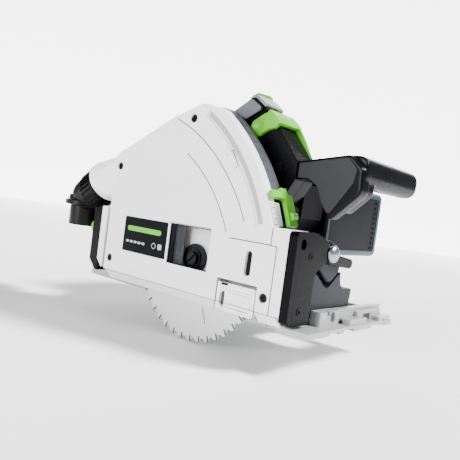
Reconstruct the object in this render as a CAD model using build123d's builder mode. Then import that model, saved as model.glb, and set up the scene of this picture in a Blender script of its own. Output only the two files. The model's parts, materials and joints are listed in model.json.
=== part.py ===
"""Cordless track plunge saw, millimetres.

+X is the cutting direction, +Y points to the motor side, +Z is up.  The origin lies on the sole,
in the blade's mid-plane, under the blade's centre.  The saw is drawn in its blade-change position.
"""

import os
from math import acos, atan2, cos, degrees, hypot, pi, radians, sin, sqrt

from build123d import *

os.makedirs("parts", exist_ok=True)

# ---------------------------------------------------------------- driving dimensions
BLADE_RADIUS = 80.0
BLADE_THICKNESS = 1.8
BLADE_TEETH = 42
ARBOR_X, ARBOR_Z = 0.0, 45.0
BLADE_BORE = 10.0

PIVOT_X, PIVOT_Z = -98.0, 22.0
RAISE_ANGLE = 25.5
PLUNGE_ANGLE = 11.5
PIVOT_PIN_RADIUS = 5.0

SOLE_REAR, SOLE_FRONT = -185.0, 133.0
SOLE_RIGHT, SOLE_LEFT = 4.0, 161.0
SOLE_THICKNESS = 5.0
SOLE_CORNER = 16.0

FACE_Y = -16.0
WALL = 3.0
SPLIT_Y = -6.0
BACK_Y = 9.0
RIM_RADIUS = 202.5
RIM_TOP_ANGLE = 55.0
COVER_REAR, COVER_FRONT = -121.5, 112.0
COVER_BOTTOM = 14.0
BLOCK_REAR, BLOCK_TOP = 94.2, 86.0
BLOCK_DEPTH = 12.0
ROOF_FRONT = (-38.6, 177.6)
ROOF_PEAK = (5.3, 189.5)
ROOF_REAR = (COVER_REAR, 137.7)

QUADRANT_X = 97.0
QUADRANT_PLATE = 5.0
FRONT_BOLT = (44.0, 68.5)
REAR_QUADRANT_X = -129.5
REAR_BOLT = (50.0, 40.0)
BOLT_RADIUS = 3.0
SLOT_HALF_WIDTH = 3.5

MODULE = 1.1
GEAR_TEETH, IDLER_TEETH, PINION_TEETH = 30, 30, 12
MOTOR_X, MOTOR_Z = -36.0, 80.0
MOTOR_RADIUS = 38.0
GEARBOX_FRONT, GEARBOX_REAR = 10.0, 36.0
MOTOR_FRONT, MOTOR_REAR = 40.3, 150.0

HANDLE_RIGHT_Y, HANDLE_SPLIT_Y, HANDLE_LEFT_Y = 22.0, 37.0, 52.0

BATTERY_LENGTH, BATTERY_DEPTH, BATTERY_HEIGHT = 118.0, 68.0, 73.0
BATTERY_START_Y = 95.0
BATTERY_BOTTOM = 62.0

PORT_X, PORT_Z = -155.0, 107.0
PORT_TILT = 31.5
PORT_RADIUS = 24.0
OUTLET_X = -190.0
OUTLET_RADIUS, OUTLET_BORE = 18.0, 14.5
OUTLET_BOTTOM = 54.0


def side(y):
    """A plane facing the cover side at depth y; local x, y are world X, Z."""
    return Plane.XZ.offset(-y)


def front(x):
    """A plane facing forward at x; local x, y are world Y, Z."""
    return Plane.YZ.offset(x)


def around_pivot(radius, angle):
    """The point at an angle above the X direction, on a circle about the plunge pivot."""
    return (PIVOT_X + radius * cos(radians(angle)), PIVOT_Z + radius * sin(radians(angle)))


def sector(inner, outer, start, end, centre=(0, 0), mode=Mode.ADD):
    """Draw a ring sector in the sketch that is open."""
    with BuildLine(Plane.XY) as outline:
        a = CenterArc(centre, outer, start, end - start)
        b = CenterArc(centre, inner, start, end - start)
        Line(a @ 0, b @ 0)
        Line(a @ 1, b @ 1)
    make_face(outline.edges(), mode=mode)


def outline_face(points, mode=Mode.ADD, centre=(0, 0), turn=0):
    """Draw a closed polygon, turned about its own origin and moved to a centre, in the open sketch."""
    c, s = cos(radians(turn)), sin(radians(turn))
    placed = [(centre[0] + x * c - y * s, centre[1] + x * s + y * c) for x, y in points]
    with BuildLine(Plane.XY) as outline:
        Polyline(*placed, close=True)
    make_face(outline.edges(), mode=mode)


def cover_profile(radius, inset, floor, front_x):
    """Draw the guard's side profile: a rim about the plunge pivot and a sloping roof."""
    start = degrees(atan2(BLOCK_TOP - inset - PIVOT_Z, sqrt(radius**2 - (BLOCK_TOP - inset - PIVOT_Z) ** 2)))
    with BuildLine(Plane.XY) as outline:
        rim = CenterArc((PIVOT_X, PIVOT_Z), radius, start, RIM_TOP_ANGLE - start)
        Polyline(
            rim @ 1,
            (ROOF_PEAK[0], ROOF_PEAK[1] - inset),
            (ROOF_FRONT[0], ROOF_FRONT[1] - inset),
            (ROOF_REAR[0] + inset, ROOF_REAR[1] - inset),
            (COVER_REAR + inset, floor),
            (front_x, floor),
            (front_x, BLOCK_TOP - inset),
            rim @ 0,
        )
    make_face(outline.edges())


def gear_profile(teeth, phase, centre):
    """Draw a spur gear with straight-flanked teeth; one tooth points at the phase angle."""
    pitch_radius = MODULE * teeth / 2
    step = 2 * pi / teeth
    tooth = [
        (pitch_radius - 1.25 * MODULE, -0.27),
        (pitch_radius + 0.80 * MODULE, -0.12),
        (pitch_radius + 0.80 * MODULE, 0.12),
        (pitch_radius - 1.25 * MODULE, 0.27),
    ]
    points = []
    for index in range(teeth):
        for radius, share in tooth:
            angle = radians(phase) + step * (index + share)
            points.append((radius * cos(angle), radius * sin(angle)))
    outline_face(points, centre=centre)


# ================================================================ base
GROOVE_Y, GROOVE_WIDTH, GROOVE_DEPTH = 69.0, 19.0, 3.0
JAW_PLACES = ((60.0, 52.0), (-158.0, 52.0))
JAW_RADIUS = 5.0
FRONT_WALL_X, FRONT_WALL_TOP = 112.0, 17.4
FOOT_SCREWS = ((106.4, 68.0), (106.4, 102.0))
REAR_FOOT_SCREWS = ((-120.0, 62.0), (-120.0, 84.0))

with BuildPart() as base_plate:
    with BuildSketch(Plane.XY):
        outline_face(
            [
                (SOLE_REAR, SOLE_RIGHT + SOLE_CORNER),
                (SOLE_REAR + SOLE_CORNER, SOLE_RIGHT),
                (102, SOLE_RIGHT),
                (102, -3),
                (SOLE_FRONT, -3),
                (SOLE_FRONT, SOLE_LEFT),
                (SOLE_REAR, SOLE_LEFT),
            ]
        )
    extrude(amount=SOLE_THICKNESS)
    fillet(base_plate.edges().filter_by(Axis.Z).group_by(Axis.X)[0], radius=8)
    with BuildSketch(Plane.XY.offset(SOLE_THICKNESS)):
        with Locations((FRONT_WALL_X + 3, (33 + SOLE_LEFT) / 2)):
            Rectangle(6, SOLE_LEFT - 33)
    extrude(amount=FRONT_WALL_TOP - SOLE_THICKNESS)
    with BuildSketch(Plane.XY.offset(SOLE_THICKNESS)):
        with Locations(((SOLE_REAR + FRONT_WALL_X) / 2, SOLE_LEFT - 2.5)):
            Rectangle(FRONT_WALL_X - SOLE_REAR - 10, 5)
        with Locations(((SOLE_REAR + FRONT_WALL_X) / 2 - 8, 92)):
            Rectangle(FRONT_WALL_X - SOLE_REAR - 36, 4)
        with Locations((SOLE_REAR + 4.5, 90)):
            Rectangle(5, 130)
        with Locations((-60, 126)):
            Rectangle(5, 66)
        with Locations((40, 126)):
            Rectangle(5, 66)
    extrude(amount=7)
    with BuildSketch(Plane.XY.offset(SOLE_THICKNESS)):
        with Locations(((SOLE_REAR + SOLE_FRONT) / 2 - 12, GROOVE_Y)):
            Rectangle(SOLE_FRONT - SOLE_REAR - 30, GROOVE_WIDTH + 6)
    extrude(amount=2)
    with BuildSketch(Plane.XY):
        with Locations(((SOLE_REAR + SOLE_FRONT) / 2, GROOVE_Y)):
            Rectangle(SOLE_FRONT - SOLE_REAR, GROOVE_WIDTH)
    extrude(amount=GROOVE_DEPTH, mode=Mode.SUBTRACT)
    with BuildSketch(Plane.XY.offset(2)):
        with Locations((0, 23)):
            Rectangle(108, 42)
    extrude(amount=5, mode=Mode.SUBTRACT)
    with BuildSketch(Plane.XY):
        with Locations((125, 130.5)):
            Rectangle(18, 33)
        with Locations((125, 42)):
            Rectangle(18, 16)
    extrude(amount=2, mode=Mode.SUBTRACT)
    with BuildSketch(Plane.XY):
        with Locations((-110, 125), (-10, 125), (76, 125)):
            RectangleRounded(56, 40, 6)
    extrude(amount=SOLE_THICKNESS + 1, mode=Mode.SUBTRACT)
    with Locations(*[(x, y, SOLE_THICKNESS + 2) for x, y in FOOT_SCREWS + REAR_FOOT_SCREWS]):
        Hole(radius=2.1)
    with Locations(*[(x, y, SOLE_THICKNESS + 2) for x, y in JAW_PLACES]):
        Hole(radius=JAW_RADIUS + 0.05)
    with BuildSketch(front(FRONT_WALL_X)):
        with Locations((74, 12)):
            SlotOverall(16, 5.5)
        with Locations((124, 12)):
            SlotOverall(30, 5.5)
    extrude(amount=6, mode=Mode.SUBTRACT)
base_plate.part.label = "base_plate"
export_step(base_plate.part, "parts/base_plate.step")

with BuildPart() as sole_strip:
    with BuildSketch(Plane.XY.offset(0.4)):
        with Locations(((SOLE_REAR + 102) / 2 + 2.5, SOLE_RIGHT - 1.0)):
            Rectangle(102 - SOLE_REAR - 33, 2)
    extrude(amount=4.2)
sole_strip.part.label = "edge_strip"
export_step(sole_strip.part, "parts/edge_strip.step")

jaws = {}
for jaw_name, jaw_place in zip(("front_guide_jaw", "rear_guide_jaw"), JAW_PLACES):
    with BuildPart() as jaw:
        with BuildSketch(Plane.XY.offset(0.4)):
            with Locations((jaw_place[0], jaw_place[1])):
                Circle(JAW_RADIUS)
        extrude(amount=9)
        with BuildSketch(Plane.XY.offset(7.5)):
            with Locations((jaw_place[0], jaw_place[1])):
                Circle(11)
                with PolarLocations(11, 12):
                    Circle(1.2, mode=Mode.SUBTRACT)
        extrude(amount=7)
        with BuildSketch(Plane.XY.offset(14.5)):
            with Locations((jaw_place[0], jaw_place[1])):
                Rectangle(18, 3)
        extrude(amount=2.5)
    jaws[jaw_name] = jaw.part
    jaws[jaw_name].label = jaw_name
    export_step(jaws[jaw_name], f"parts/{jaw_name}.step")

FRONT_ARC = hypot(*FRONT_BOLT)
FRONT_ARC_ANGLE = degrees(atan2(FRONT_BOLT[1], FRONT_BOLT[0]))
REAR_ARC = hypot(*REAR_BOLT)
REAR_ARC_ANGLE = degrees(atan2(REAR_BOLT[1], REAR_BOLT[0]))

with BuildPart() as front_quadrant:
    with BuildSketch(front(QUADRANT_X)):
        sector(60, FRONT_ARC + 8.5, 8, 70)
        sector(60, FRONT_ARC - SLOT_HALF_WIDTH, 69, 96.5)
        outline_face([(54, 7), (113, 7), (113, 14), (98, 33), (84, 34), (58, 34)])
        sector(
            FRONT_ARC - SLOT_HALF_WIDTH,
            FRONT_ARC + SLOT_HALF_WIDTH,
            FRONT_ARC_ANGLE - 3.5,
            100,
            mode=Mode.SUBTRACT,
        )
    extrude(amount=QUADRANT_PLATE)
    with BuildSketch(Plane.XY.offset(SOLE_THICKNESS + 2)):
        with Locations((104.3, 84)):
            Rectangle(14.6, 58)
    extrude(amount=4)
    with Locations(*[(x, y, SOLE_THICKNESS + 6) for x, y in FOOT_SCREWS]):
        Hole(radius=2.1)
front_quadrant.part.label = "front_quadrant"
export_step(front_quadrant.part, "parts/front_quadrant.step")

with BuildPart() as rear_quadrant:
    with BuildSketch(front(REAR_QUADRANT_X)):
        sector(50, REAR_ARC + 9, 8, 90)
        outline_face([(50, 7), (90, 7), (90, 14), (72, 30), (52, 30)])
        sector(
            REAR_ARC - SLOT_HALF_WIDTH,
            REAR_ARC + SLOT_HALF_WIDTH,
            REAR_ARC_ANGLE - 4.5,
            91,
            mode=Mode.SUBTRACT,
        )
    extrude(amount=QUADRANT_PLATE)
    with BuildSketch(Plane.XY.offset(SOLE_THICKNESS + 2)):
        with Locations((-121.7, 70)):
            Rectangle(15.4, 40)
    extrude(amount=4)
    with Locations(*[(x, y, SOLE_THICKNESS + 6) for x, y in REAR_FOOT_SCREWS]):
        Hole(radius=2.1)
rear_quadrant.part.label = "rear_quadrant"
export_step(rear_quadrant.part, "parts/rear_quadrant.step")

with BuildPart() as quadrant_screws:
    for x, y in FOOT_SCREWS + REAR_FOOT_SCREWS:
        with BuildSketch(Plane.XY.offset(1)):
            with Locations((x, y)):
                Circle(2)
        extrude(amount=SOLE_THICKNESS + 5)
        with BuildSketch(Plane.XY.offset(SOLE_THICKNESS + 6)):
            with Locations((x, y)):
                Circle(3.8)
                RegularPolygon(1.8, 6, mode=Mode.SUBTRACT)
        extrude(amount=3)
        with BuildSketch(Plane.XY.offset(SOLE_THICKNESS + 5.5)):
            with Locations((x, y)):
                Circle(2)
        extrude(amount=1.5)
quadrant_screws.part.label = "quadrant_screws"
export_step(quadrant_screws.part, "parts/quadrant_screws.step")

# ================================================================ tilting carriage
WINDOW = (-25.4, 28.4, 36.6, 75.5)
LABEL = (-94.0, -28.0, 38.5, 75.0)
SPLINTER = (43.0, 86.5, 12.0, 34.6)
SCREW_PLACES = ((-113.4, 27.3), (94.3, 26.9), (-11.7, 176.0), (-113.0, 126.0))
PORT_OPENING = (96.0, 132.0)


def window_rectangle(box):
    """Draw an axis-aligned rectangle given as (low x, high x, low z, high z)."""
    with Locations(((box[0] + box[1]) / 2, (box[2] + box[3]) / 2)):
        Rectangle(box[1] - box[0], box[3] - box[2])


with BuildPart() as guard_cover:
    with BuildSketch(side(FACE_Y)):
        cover_profile(RIM_RADIUS, 0, COVER_BOTTOM, COVER_FRONT)
    extrude(amount=-(SPLIT_Y - FACE_Y))
    with BuildSketch(side(SPLIT_Y)):
        with Locations(((BLOCK_REAR + COVER_FRONT) / 2, (COVER_BOTTOM + BLOCK_TOP) / 2)):
            Rectangle(COVER_FRONT - BLOCK_REAR, BLOCK_TOP - COVER_BOTTOM)
    extrude(amount=-(BLOCK_DEPTH - SPLIT_Y))
    chamfer(guard_cover.faces().sort_by(Axis.Y)[0].edges(), length=2.2)
    with BuildSketch(side(FACE_Y + WALL)):
        cover_profile(RIM_RADIUS - WALL, WALL, 0, COVER_FRONT - WALL)
    extrude(amount=-(BLOCK_DEPTH + 5 - FACE_Y - WALL), mode=Mode.SUBTRACT)
    with BuildSketch(front(COVER_REAR + 6)):
        outline_face([(FACE_Y, 16), (FACE_Y, COVER_BOTTOM), (-7, 4.8), (-5, 4.8), (-5, 7), (-13, 16)])
    extrude(amount=COVER_FRONT - COVER_REAR - 12)
    with BuildSketch(side(FACE_Y - 1)):
        window_rectangle(WINDOW)
        with Locations((74.3, 52.5)):
            SlotOverall(22, 7, rotation=90)
    extrude(amount=-6, mode=Mode.SUBTRACT)
    with BuildSketch(side(FACE_Y - 1)):
        window_rectangle((SPLINTER[0], SPLINTER[1], 0, SPLINTER[3]))
    extrude(amount=-13, mode=Mode.SUBTRACT)
    with BuildSketch(side(FACE_Y - 1)):
        window_rectangle(LABEL)
    extrude(amount=-2.2, mode=Mode.SUBTRACT)
    with BuildSketch(side(FACE_Y - 1)):
        with Locations(*SCREW_PLACES):
            Circle(4.2)
    extrude(amount=-3, mode=Mode.SUBTRACT)
    with BuildSketch(side(FACE_Y - 1)):
        with Locations(*SCREW_PLACES):
            Circle(2.2)
    extrude(amount=-8, mode=Mode.SUBTRACT)
    with BuildSketch(front(COVER_REAR - 1)):
        window_rectangle((FACE_Y + WALL, BACK_Y, *PORT_OPENING))
    extrude(amount=8, mode=Mode.SUBTRACT)
guard_cover.part.label = "guard_cover"
export_step(guard_cover.part, "parts/guard_cover.step")

HOUSING_RIM = RIM_RADIUS - 0.8
ARBOR_ORBIT = hypot(ARBOR_X - PIVOT_X, ARBOR_Z - PIVOT_Z)
ARBOR_ANGLE = degrees(atan2(ARBOR_Z - PIVOT_Z, ARBOR_X - PIVOT_X))
ARBOR_BOSS = 17.0
BOSS_GAP = 2.5

with BuildPart() as guard_housing:
    with BuildSketch(side(SPLIT_Y + 0.3)):
        cover_profile(HOUSING_RIM, 0.8, 8, BLOCK_REAR - 0.6)
    extrude(amount=-(BACK_Y - SPLIT_Y - 0.3))
    with BuildSketch(side(SPLIT_Y + 0.3)):
        cover_profile(HOUSING_RIM - WALL, 0.8 + WALL, 4, BLOCK_REAR - WALL - 0.6)
    extrude(amount=-(BACK_Y - 2.5 - SPLIT_Y - 0.3), mode=Mode.SUBTRACT)
    with BuildSketch(side(BACK_Y - 3)):
        sector(
            ARBOR_ORBIT - ARBOR_BOSS - BOSS_GAP,
            ARBOR_ORBIT + ARBOR_BOSS + BOSS_GAP,
            ARBOR_ANGLE - PLUNGE_ANGLE,
            ARBOR_ANGLE + RAISE_ANGLE,
            centre=(PIVOT_X, PIVOT_Z),
        )
        for angle in (ARBOR_ANGLE - PLUNGE_ANGLE, ARBOR_ANGLE + RAISE_ANGLE):
            with Locations(around_pivot(ARBOR_ORBIT, angle)):
                Circle(ARBOR_BOSS + BOSS_GAP)
    extrude(amount=-5, mode=Mode.SUBTRACT)
    with BuildSketch(side(-9)):
        with Locations((PIVOT_X, PIVOT_Z)):
            Circle(9)
    extrude(amount=-(BACK_Y + 9))
    with BuildSketch(side(-13)):
        with Locations((PIVOT_X, PIVOT_Z)):
            Circle(PIVOT_PIN_RADIUS)
    extrude(amount=-30, mode=Mode.SUBTRACT)
    with BuildSketch(front(COVER_REAR - 9.2)):
        window_rectangle((0, BACK_Y, 12, 38))
    extrude(amount=11)
    with BuildSketch(front(COVER_REAR - 1)):
        window_rectangle((SPLIT_Y, BACK_Y - 2.5, *PORT_OPENING))
    extrude(amount=8, mode=Mode.SUBTRACT)
guard_housing.part.label = "guard_housing"
export_step(guard_housing.part, "parts/guard_housing.step")

with BuildPart() as label_plate:
    with BuildSketch(side(FACE_Y + 0.2)):
        with Locations(((LABEL[0] + LABEL[1]) / 2, (LABEL[2] + LABEL[3]) / 2)):
            RectangleRounded(LABEL[1] - LABEL[0] - 0.4, LABEL[3] - LABEL[2] - 0.4, 1.5)
    extrude(amount=-1)
label_plate.part.label = "label_plate"
export_step(label_plate.part, "parts/label_plate.step")

with BuildPart() as splinter_guard:
    with BuildSketch(side(FACE_Y + 0.4)):
        window_rectangle((SPLINTER[0] + 0.5, SPLINTER[1] - 0.5, SPLINTER[2] - 4, SPLINTER[3] - 2.5))
    extrude(amount=-3.5)
    with BuildSketch(side(FACE_Y + 3.4)):
        window_rectangle((SPLINTER[0] + 5, SPLINTER[1] - 5, 6, SPLINTER[3] - 6))
    extrude(amount=-5.4)
    with BuildSketch(side(FACE_Y - 1)):
        with Locations((64.7, 22)):
            SlotOverall(18, 9)
    extrude(amount=-3, mode=Mode.SUBTRACT)
splinter_guard.part.label = "splinter_guard"
export_step(splinter_guard.part, "parts/splinter_guard.step")

with BuildPart() as cover_screws:
    for x, z in SCREW_PLACES:
        with BuildSketch(side(FACE_Y - 0.3)):
            with Locations((x, z)):
                Circle(4)
                RegularPolygon(2, 6, mode=Mode.SUBTRACT)
        extrude(amount=-2)
        with BuildSketch(side(FACE_Y + 1.2)):
            with Locations((x, z)):
                Circle(2)
        extrude(amount=-7)
cover_screws.part.label = "cover_screws"
export_step(cover_screws.part, "parts/cover_screws.step")

with BuildPart() as front_bracket:
    with BuildSketch(front(COVER_FRONT + 0.2)):
        outline_face(
            [
                (-16, 12),
                (-11, 8),
                (18, 8),
                (18, 52),
                (30, 58),
                (38, 64),
                (38, 76),
                (31, 80),
                (22, 83.6),
                (12, 85.5),
                (-16, 85.5),
            ]
        )
    extrude(amount=7.8)
    fillet(front_bracket.edges().filter_by(Axis.Y).group_by(Axis.Z)[-1].sort_by(Axis.X)[-1], radius=5)
    with BuildSketch(front(112.35)):
        with Locations(FRONT_BOLT):
            Circle(10.4)
    extrude(amount=9, mode=Mode.SUBTRACT)
    with BuildSketch(front(QUADRANT_X + QUADRANT_PLATE + 0.5)):
        outline_face([(12.4, 22), (30, 22), (70, 40), (64, 62), (52, 80), (34, 80), (12.4, 84)])
    extrude(amount=9.9)
    with BuildSketch(front(99)):
        with Locations(FRONT_BOLT):
            Circle(BOLT_RADIUS + 0.1)
    extrude(amount=16, mode=Mode.SUBTRACT)
    with BuildSketch(front(110)):
        with Locations((-5.7, 75.5)):
            Circle(3)
    extrude(amount=12, mode=Mode.SUBTRACT)
front_bracket.part.label = "front_bracket"
export_step(front_bracket.part, "parts/front_bracket.step")

with BuildPart() as rear_bracket:
    with BuildSketch(side(-10)):
        outline_face([(-157.5, 78), (-157.5, 20), (-146, 8.6), (-141.3, 8.6), (-141.3, 78)])
    extrude(amount=-24)
    chamfer(rear_bracket.edges().filter_by(Axis.Z).group_by(Axis.X)[0], length=1.5)
    with BuildSketch(side(9.6)):
        window_rectangle((-150, -130.2, 20, 70))
    extrude(amount=-4.4)
    with BuildSketch(front(-134.5)):
        outline_face([(9.6, 20), (54, 26), (64, 40), (54, 54), (9.6, 70)])
    extrude(amount=4.3)
    with BuildSketch(front(-140)):
        with Locations(REAR_BOLT):
            Circle(BOLT_RADIUS + 0.1)
    extrude(amount=16, mode=Mode.SUBTRACT)
    with BuildSketch(front(-158)):
        with Locations((0, 55.8)):
            Circle(9)
    extrude(amount=12, mode=Mode.SUBTRACT)
rear_bracket.part.label = "rear_bracket"
export_step(rear_bracket.part, "parts/rear_bracket.step")

with BuildPart() as rear_strip:
    with BuildSketch(side(-12)):
        outline_face([(-141, 81), (-141, 22), (-133, 14), (-131, 14), (-131, 81)])
    extrude(amount=-21)
rear_strip.part.label = "rear_strip"
export_step(rear_strip.part, "parts/rear_strip.step")

with BuildPart() as rear_release_button:
    with BuildSketch(front(-165.5)):
        with Locations((0, 55.8)):
            Circle(8.4)
    extrude(amount=14)
    fillet(rear_release_button.edges().sort_by(Axis.X)[0], radius=5)
rear_release_button.part.label = "rear_release_button"
export_step(rear_release_button.part, "parts/rear_release_button.step")

STOP_START, STOP_END = 18.6, 28.0
with BuildPart() as depth_scale:
    with BuildSketch(side(-14)):
        sector(RIM_RADIUS + 0.1, RIM_RADIUS + 0.7, 18.8, 24.5, centre=(PIVOT_X, PIVOT_Z))
    extrude(amount=-13)
depth_scale.part.label = "depth_scale"
export_step(depth_scale.part, "parts/depth_scale.step")

with BuildPart() as depth_stop:
    with BuildSketch(side(0)):
        sector(RIM_RADIUS + 1.2, RIM_RADIUS + 5.2, STOP_START, STOP_END, centre=(PIVOT_X, PIVOT_Z))
    extrude(amount=-15)
    with BuildSketch(side(-13)):
        sector(RIM_RADIUS + 1.2, RIM_RADIUS + 5.2, STOP_END - 2.4, STOP_END - 0.2, centre=(PIVOT_X, PIVOT_Z))
    extrude(amount=-14)
    with BuildSketch(side(4)):
        with Locations(around_pivot(RIM_RADIUS + 5.2, STOP_START + 2.4)):
            Circle(4)
    extrude(amount=-11)
depth_stop.part.label = "depth_stop"
export_step(depth_stop.part, "parts/depth_stop.step")

with BuildPart() as pivot_pin:
    with BuildSketch(side(-8.5)):
        with Locations((PIVOT_X, PIVOT_Z)):
            Circle(PIVOT_PIN_RADIUS)
    extrude(amount=-62.5)
    with BuildSketch(side(54)):
        with Locations((PIVOT_X, PIVOT_Z)):
            Circle(8)
    extrude(amount=-4)
pivot_pin.part.label = "pivot_pin"
export_step(pivot_pin.part, "parts/pivot_pin.step")

with BuildPart() as plunge_spring:
    with BuildLine() as coil:
        Helix(pitch=2.4, height=12, radius=8, center=(PIVOT_X, 52, PIVOT_Z), direction=(0, -1, 0))
    with BuildSketch(Plane(coil.line @ 0, z_dir=coil.line % 0)):
        Circle(0.9)
    sweep()
plunge_spring.part.label = "plunge_spring"
export_step(plunge_spring.part, "parts/plunge_spring.step")

FRONT_BOLT_HEAD_X = QUADRANT_X - 5.5
with BuildPart() as clamp_bolts:
    for place, shank_x, head_x in (
        (FRONT_BOLT, FRONT_BOLT_HEAD_X, FRONT_BOLT_HEAD_X),
        (REAR_BOLT, -144, -124),
    ):
        with BuildSketch(front(head_x)):
            with Locations(place):
                Circle(6.5)
        extrude(amount=5)
        with BuildSketch(front(shank_x)):
            with Locations(place):
                Circle(BOLT_RADIUS)
        extrude(amount=25)
clamp_bolts.part.label = "clamp_bolts"
export_step(clamp_bolts.part, "parts/clamp_bolts.step")

LEVER_LENGTH = 42.0
with BuildPart() as front_clamp_knob:
    with BuildSketch(front(112.4)):
        with Locations(FRONT_BOLT):
            Circle(9.2)
    extrude(amount=6)
    with BuildSketch(front(112.4)):
        with Locations(FRONT_BOLT):
            Circle(BOLT_RADIUS + 0.06)
    extrude(amount=5, mode=Mode.SUBTRACT)
    with BuildSketch(front(113)):
        with Locations(FRONT_BOLT):
            Circle(8)
        lever = [(4, -6), (LEVER_LENGTH, -4.5), (LEVER_LENGTH + 3, 0), (LEVER_LENGTH, 4), (4, 6)]
        outline_face(lever, centre=FRONT_BOLT, turn=-14)
    extrude(amount=5)
    with BuildSketch(front(112.4)):
        with Locations(FRONT_BOLT):
            Circle(BOLT_RADIUS + 0.06)
    extrude(amount=5, mode=Mode.SUBTRACT)
front_clamp_knob.part.label = "front_clamp_knob"
export_step(front_clamp_knob.part, "parts/front_clamp_knob.step")

with BuildPart() as front_knob_cap:
    with BuildSketch(front(118.4)):
        with Locations(FRONT_BOLT):
            Circle(7.5)
    extrude(amount=3.4)
    fillet(front_knob_cap.edges().group_by(Axis.X)[-1], radius=2.4)
front_knob_cap.part.label = "front_knob_cap"
export_step(front_knob_cap.part, "parts/front_knob_cap.step")

with BuildPart() as rear_clamp_knob:
    with BuildSketch(front(-146.5)):
        with Locations(REAR_BOLT):
            Circle(9.2)
        outline_face([(5, -5.5), (36, -4), (39, 0), (36, 4), (5, 5.5)], centre=REAR_BOLT, turn=12)
    extrude(amount=11.5)
    with BuildSketch(front(-144.5)):
        with Locations(REAR_BOLT):
            Circle(BOLT_RADIUS + 0.06)
    extrude(amount=12, mode=Mode.SUBTRACT)
rear_clamp_knob.part.label = "rear_clamp_knob"
export_step(rear_clamp_knob.part, "parts/rear_clamp_knob.step")

with BuildPart() as bracket_screws:
    for y, z in ((0.0, 20.0), (8.0, 66.0)):
        with BuildSketch(front(120)):
            with Locations((y, z)):
                Circle(3.6)
                RegularPolygon(1.7, 6, mode=Mode.SUBTRACT)
        extrude(amount=2)
bracket_screws.part.label = "bracket_screws"
export_step(bracket_screws.part, "parts/bracket_screws.step")

# ---------------------------------------------------------------- dust extraction
PORT_AXIS = Vector(-cos(radians(PORT_TILT)), 0, -sin(radians(PORT_TILT)))


def port_plane(distance):
    """A plane square to the port's axis, a distance beyond the ring's face."""
    return Plane(Vector(PORT_X, 0, PORT_Z) + PORT_AXIS * distance, x_dir=(0, 1, 0), z_dir=PORT_AXIS)


PORT_MOUTH_Z = (PORT_OPENING[0] + PORT_OPENING[1]) / 2
with BuildPart() as dust_port:
    with BuildSketch(front(COVER_REAR - 0.2)):
        with Locations((-3.5, PORT_MOUTH_Z)):
            RectangleRounded(24, 42, 5)
    with BuildSketch(port_plane(-5)):
        Circle(PORT_RADIUS - 1)
    loft()
    with BuildSketch(port_plane(-5)):
        Circle(PORT_RADIUS)
    extrude(amount=5)
    with BuildSketch(front(COVER_REAR - 0.2)):
        with Locations((-3.5, PORT_MOUTH_Z)):
            RectangleRounded(18, 35, 4)
    with BuildSketch(port_plane(-5)):
        Circle(PORT_RADIUS - 5)
    loft(mode=Mode.SUBTRACT)
    with BuildSketch(port_plane(-5)):
        Circle(PORT_RADIUS - 5)
    extrude(amount=5, mode=Mode.SUBTRACT)
dust_port.part.label = "dust_port"
export_step(dust_port.part, "parts/dust_port.step")

COLLAR_LENGTH = 33.0
with BuildPart() as dust_elbow:
    with BuildSketch(port_plane(0.4)):
        Circle(PORT_RADIUS - 1.6)
        with PolarLocations(PORT_RADIUS - 1.6, 24):
            Rectangle(1.2, 2.6, mode=Mode.SUBTRACT)
    extrude(amount=COLLAR_LENGTH - 10)
    with BuildSketch(port_plane(COLLAR_LENGTH - 10)):
        Circle(PORT_RADIUS - 2.8)
    extrude(amount=10)
    with Locations(port_plane(COLLAR_LENGTH).origin):
        Sphere(PORT_RADIUS - 3)
    with BuildSketch(Plane.XY.offset(OUTLET_BOTTOM)):
        with Locations((OUTLET_X, 0)):
            Circle(OUTLET_RADIUS)
    extrude(amount=port_plane(COLLAR_LENGTH).origin.Z - OUTLET_BOTTOM)
    with BuildSketch(Plane.XY.offset(77)):
        with Locations((OUTLET_X, 0)):
            Circle(OUTLET_RADIUS + 6)
    extrude(amount=6)
    with BuildSketch(port_plane(-1)):
        Circle(PORT_RADIUS - 5)
    extrude(amount=COLLAR_LENGTH + 1, mode=Mode.SUBTRACT)
    with Locations(port_plane(COLLAR_LENGTH).origin):
        Sphere(PORT_RADIUS - 6, mode=Mode.SUBTRACT)
    with BuildSketch(Plane.XY.offset(OUTLET_BOTTOM - 1)):
        with Locations((OUTLET_X, 0)):
            Circle(OUTLET_BORE)
    extrude(amount=port_plane(COLLAR_LENGTH).origin.Z - OUTLET_BOTTOM, mode=Mode.SUBTRACT)
dust_elbow.part.label = "dust_elbow"
export_step(dust_elbow.part, "parts/dust_elbow.step")

# ================================================================ blade drive
TIP_RADIUS = BLADE_RADIUS
GULLET_RADIUS = BLADE_RADIUS - 4.3
GULLET_PHASE = -142.6
TOOTH = ((GULLET_RADIUS, 0.0), (GULLET_RADIUS + 1, 0.28), (TIP_RADIUS, 0.34), (TIP_RADIUS - 1, 0.8))
blade_points = []
for tooth_index in range(BLADE_TEETH):
    for tooth_radius, tooth_share in TOOTH:
        tooth_angle = radians(GULLET_PHASE - 360 / BLADE_TEETH * (tooth_index + tooth_share))
        blade_points.append((tooth_radius * cos(tooth_angle), tooth_radius * sin(tooth_angle)))
with BuildPart() as saw_blade:
    with BuildSketch(side(-BLADE_THICKNESS / 2)):
        outline_face(blade_points, centre=(ARBOR_X, ARBOR_Z))
        with Locations((ARBOR_X, ARBOR_Z)):
            Circle(BLADE_BORE, mode=Mode.SUBTRACT)
            with PolarLocations(55, 4, start_angle=20):
                SlotOverall(16, 1.2, mode=Mode.SUBTRACT)
    extrude(amount=-BLADE_THICKNESS)
saw_blade.part.label = "saw_blade"
export_step(saw_blade.part, "parts/saw_blade.step")

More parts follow.
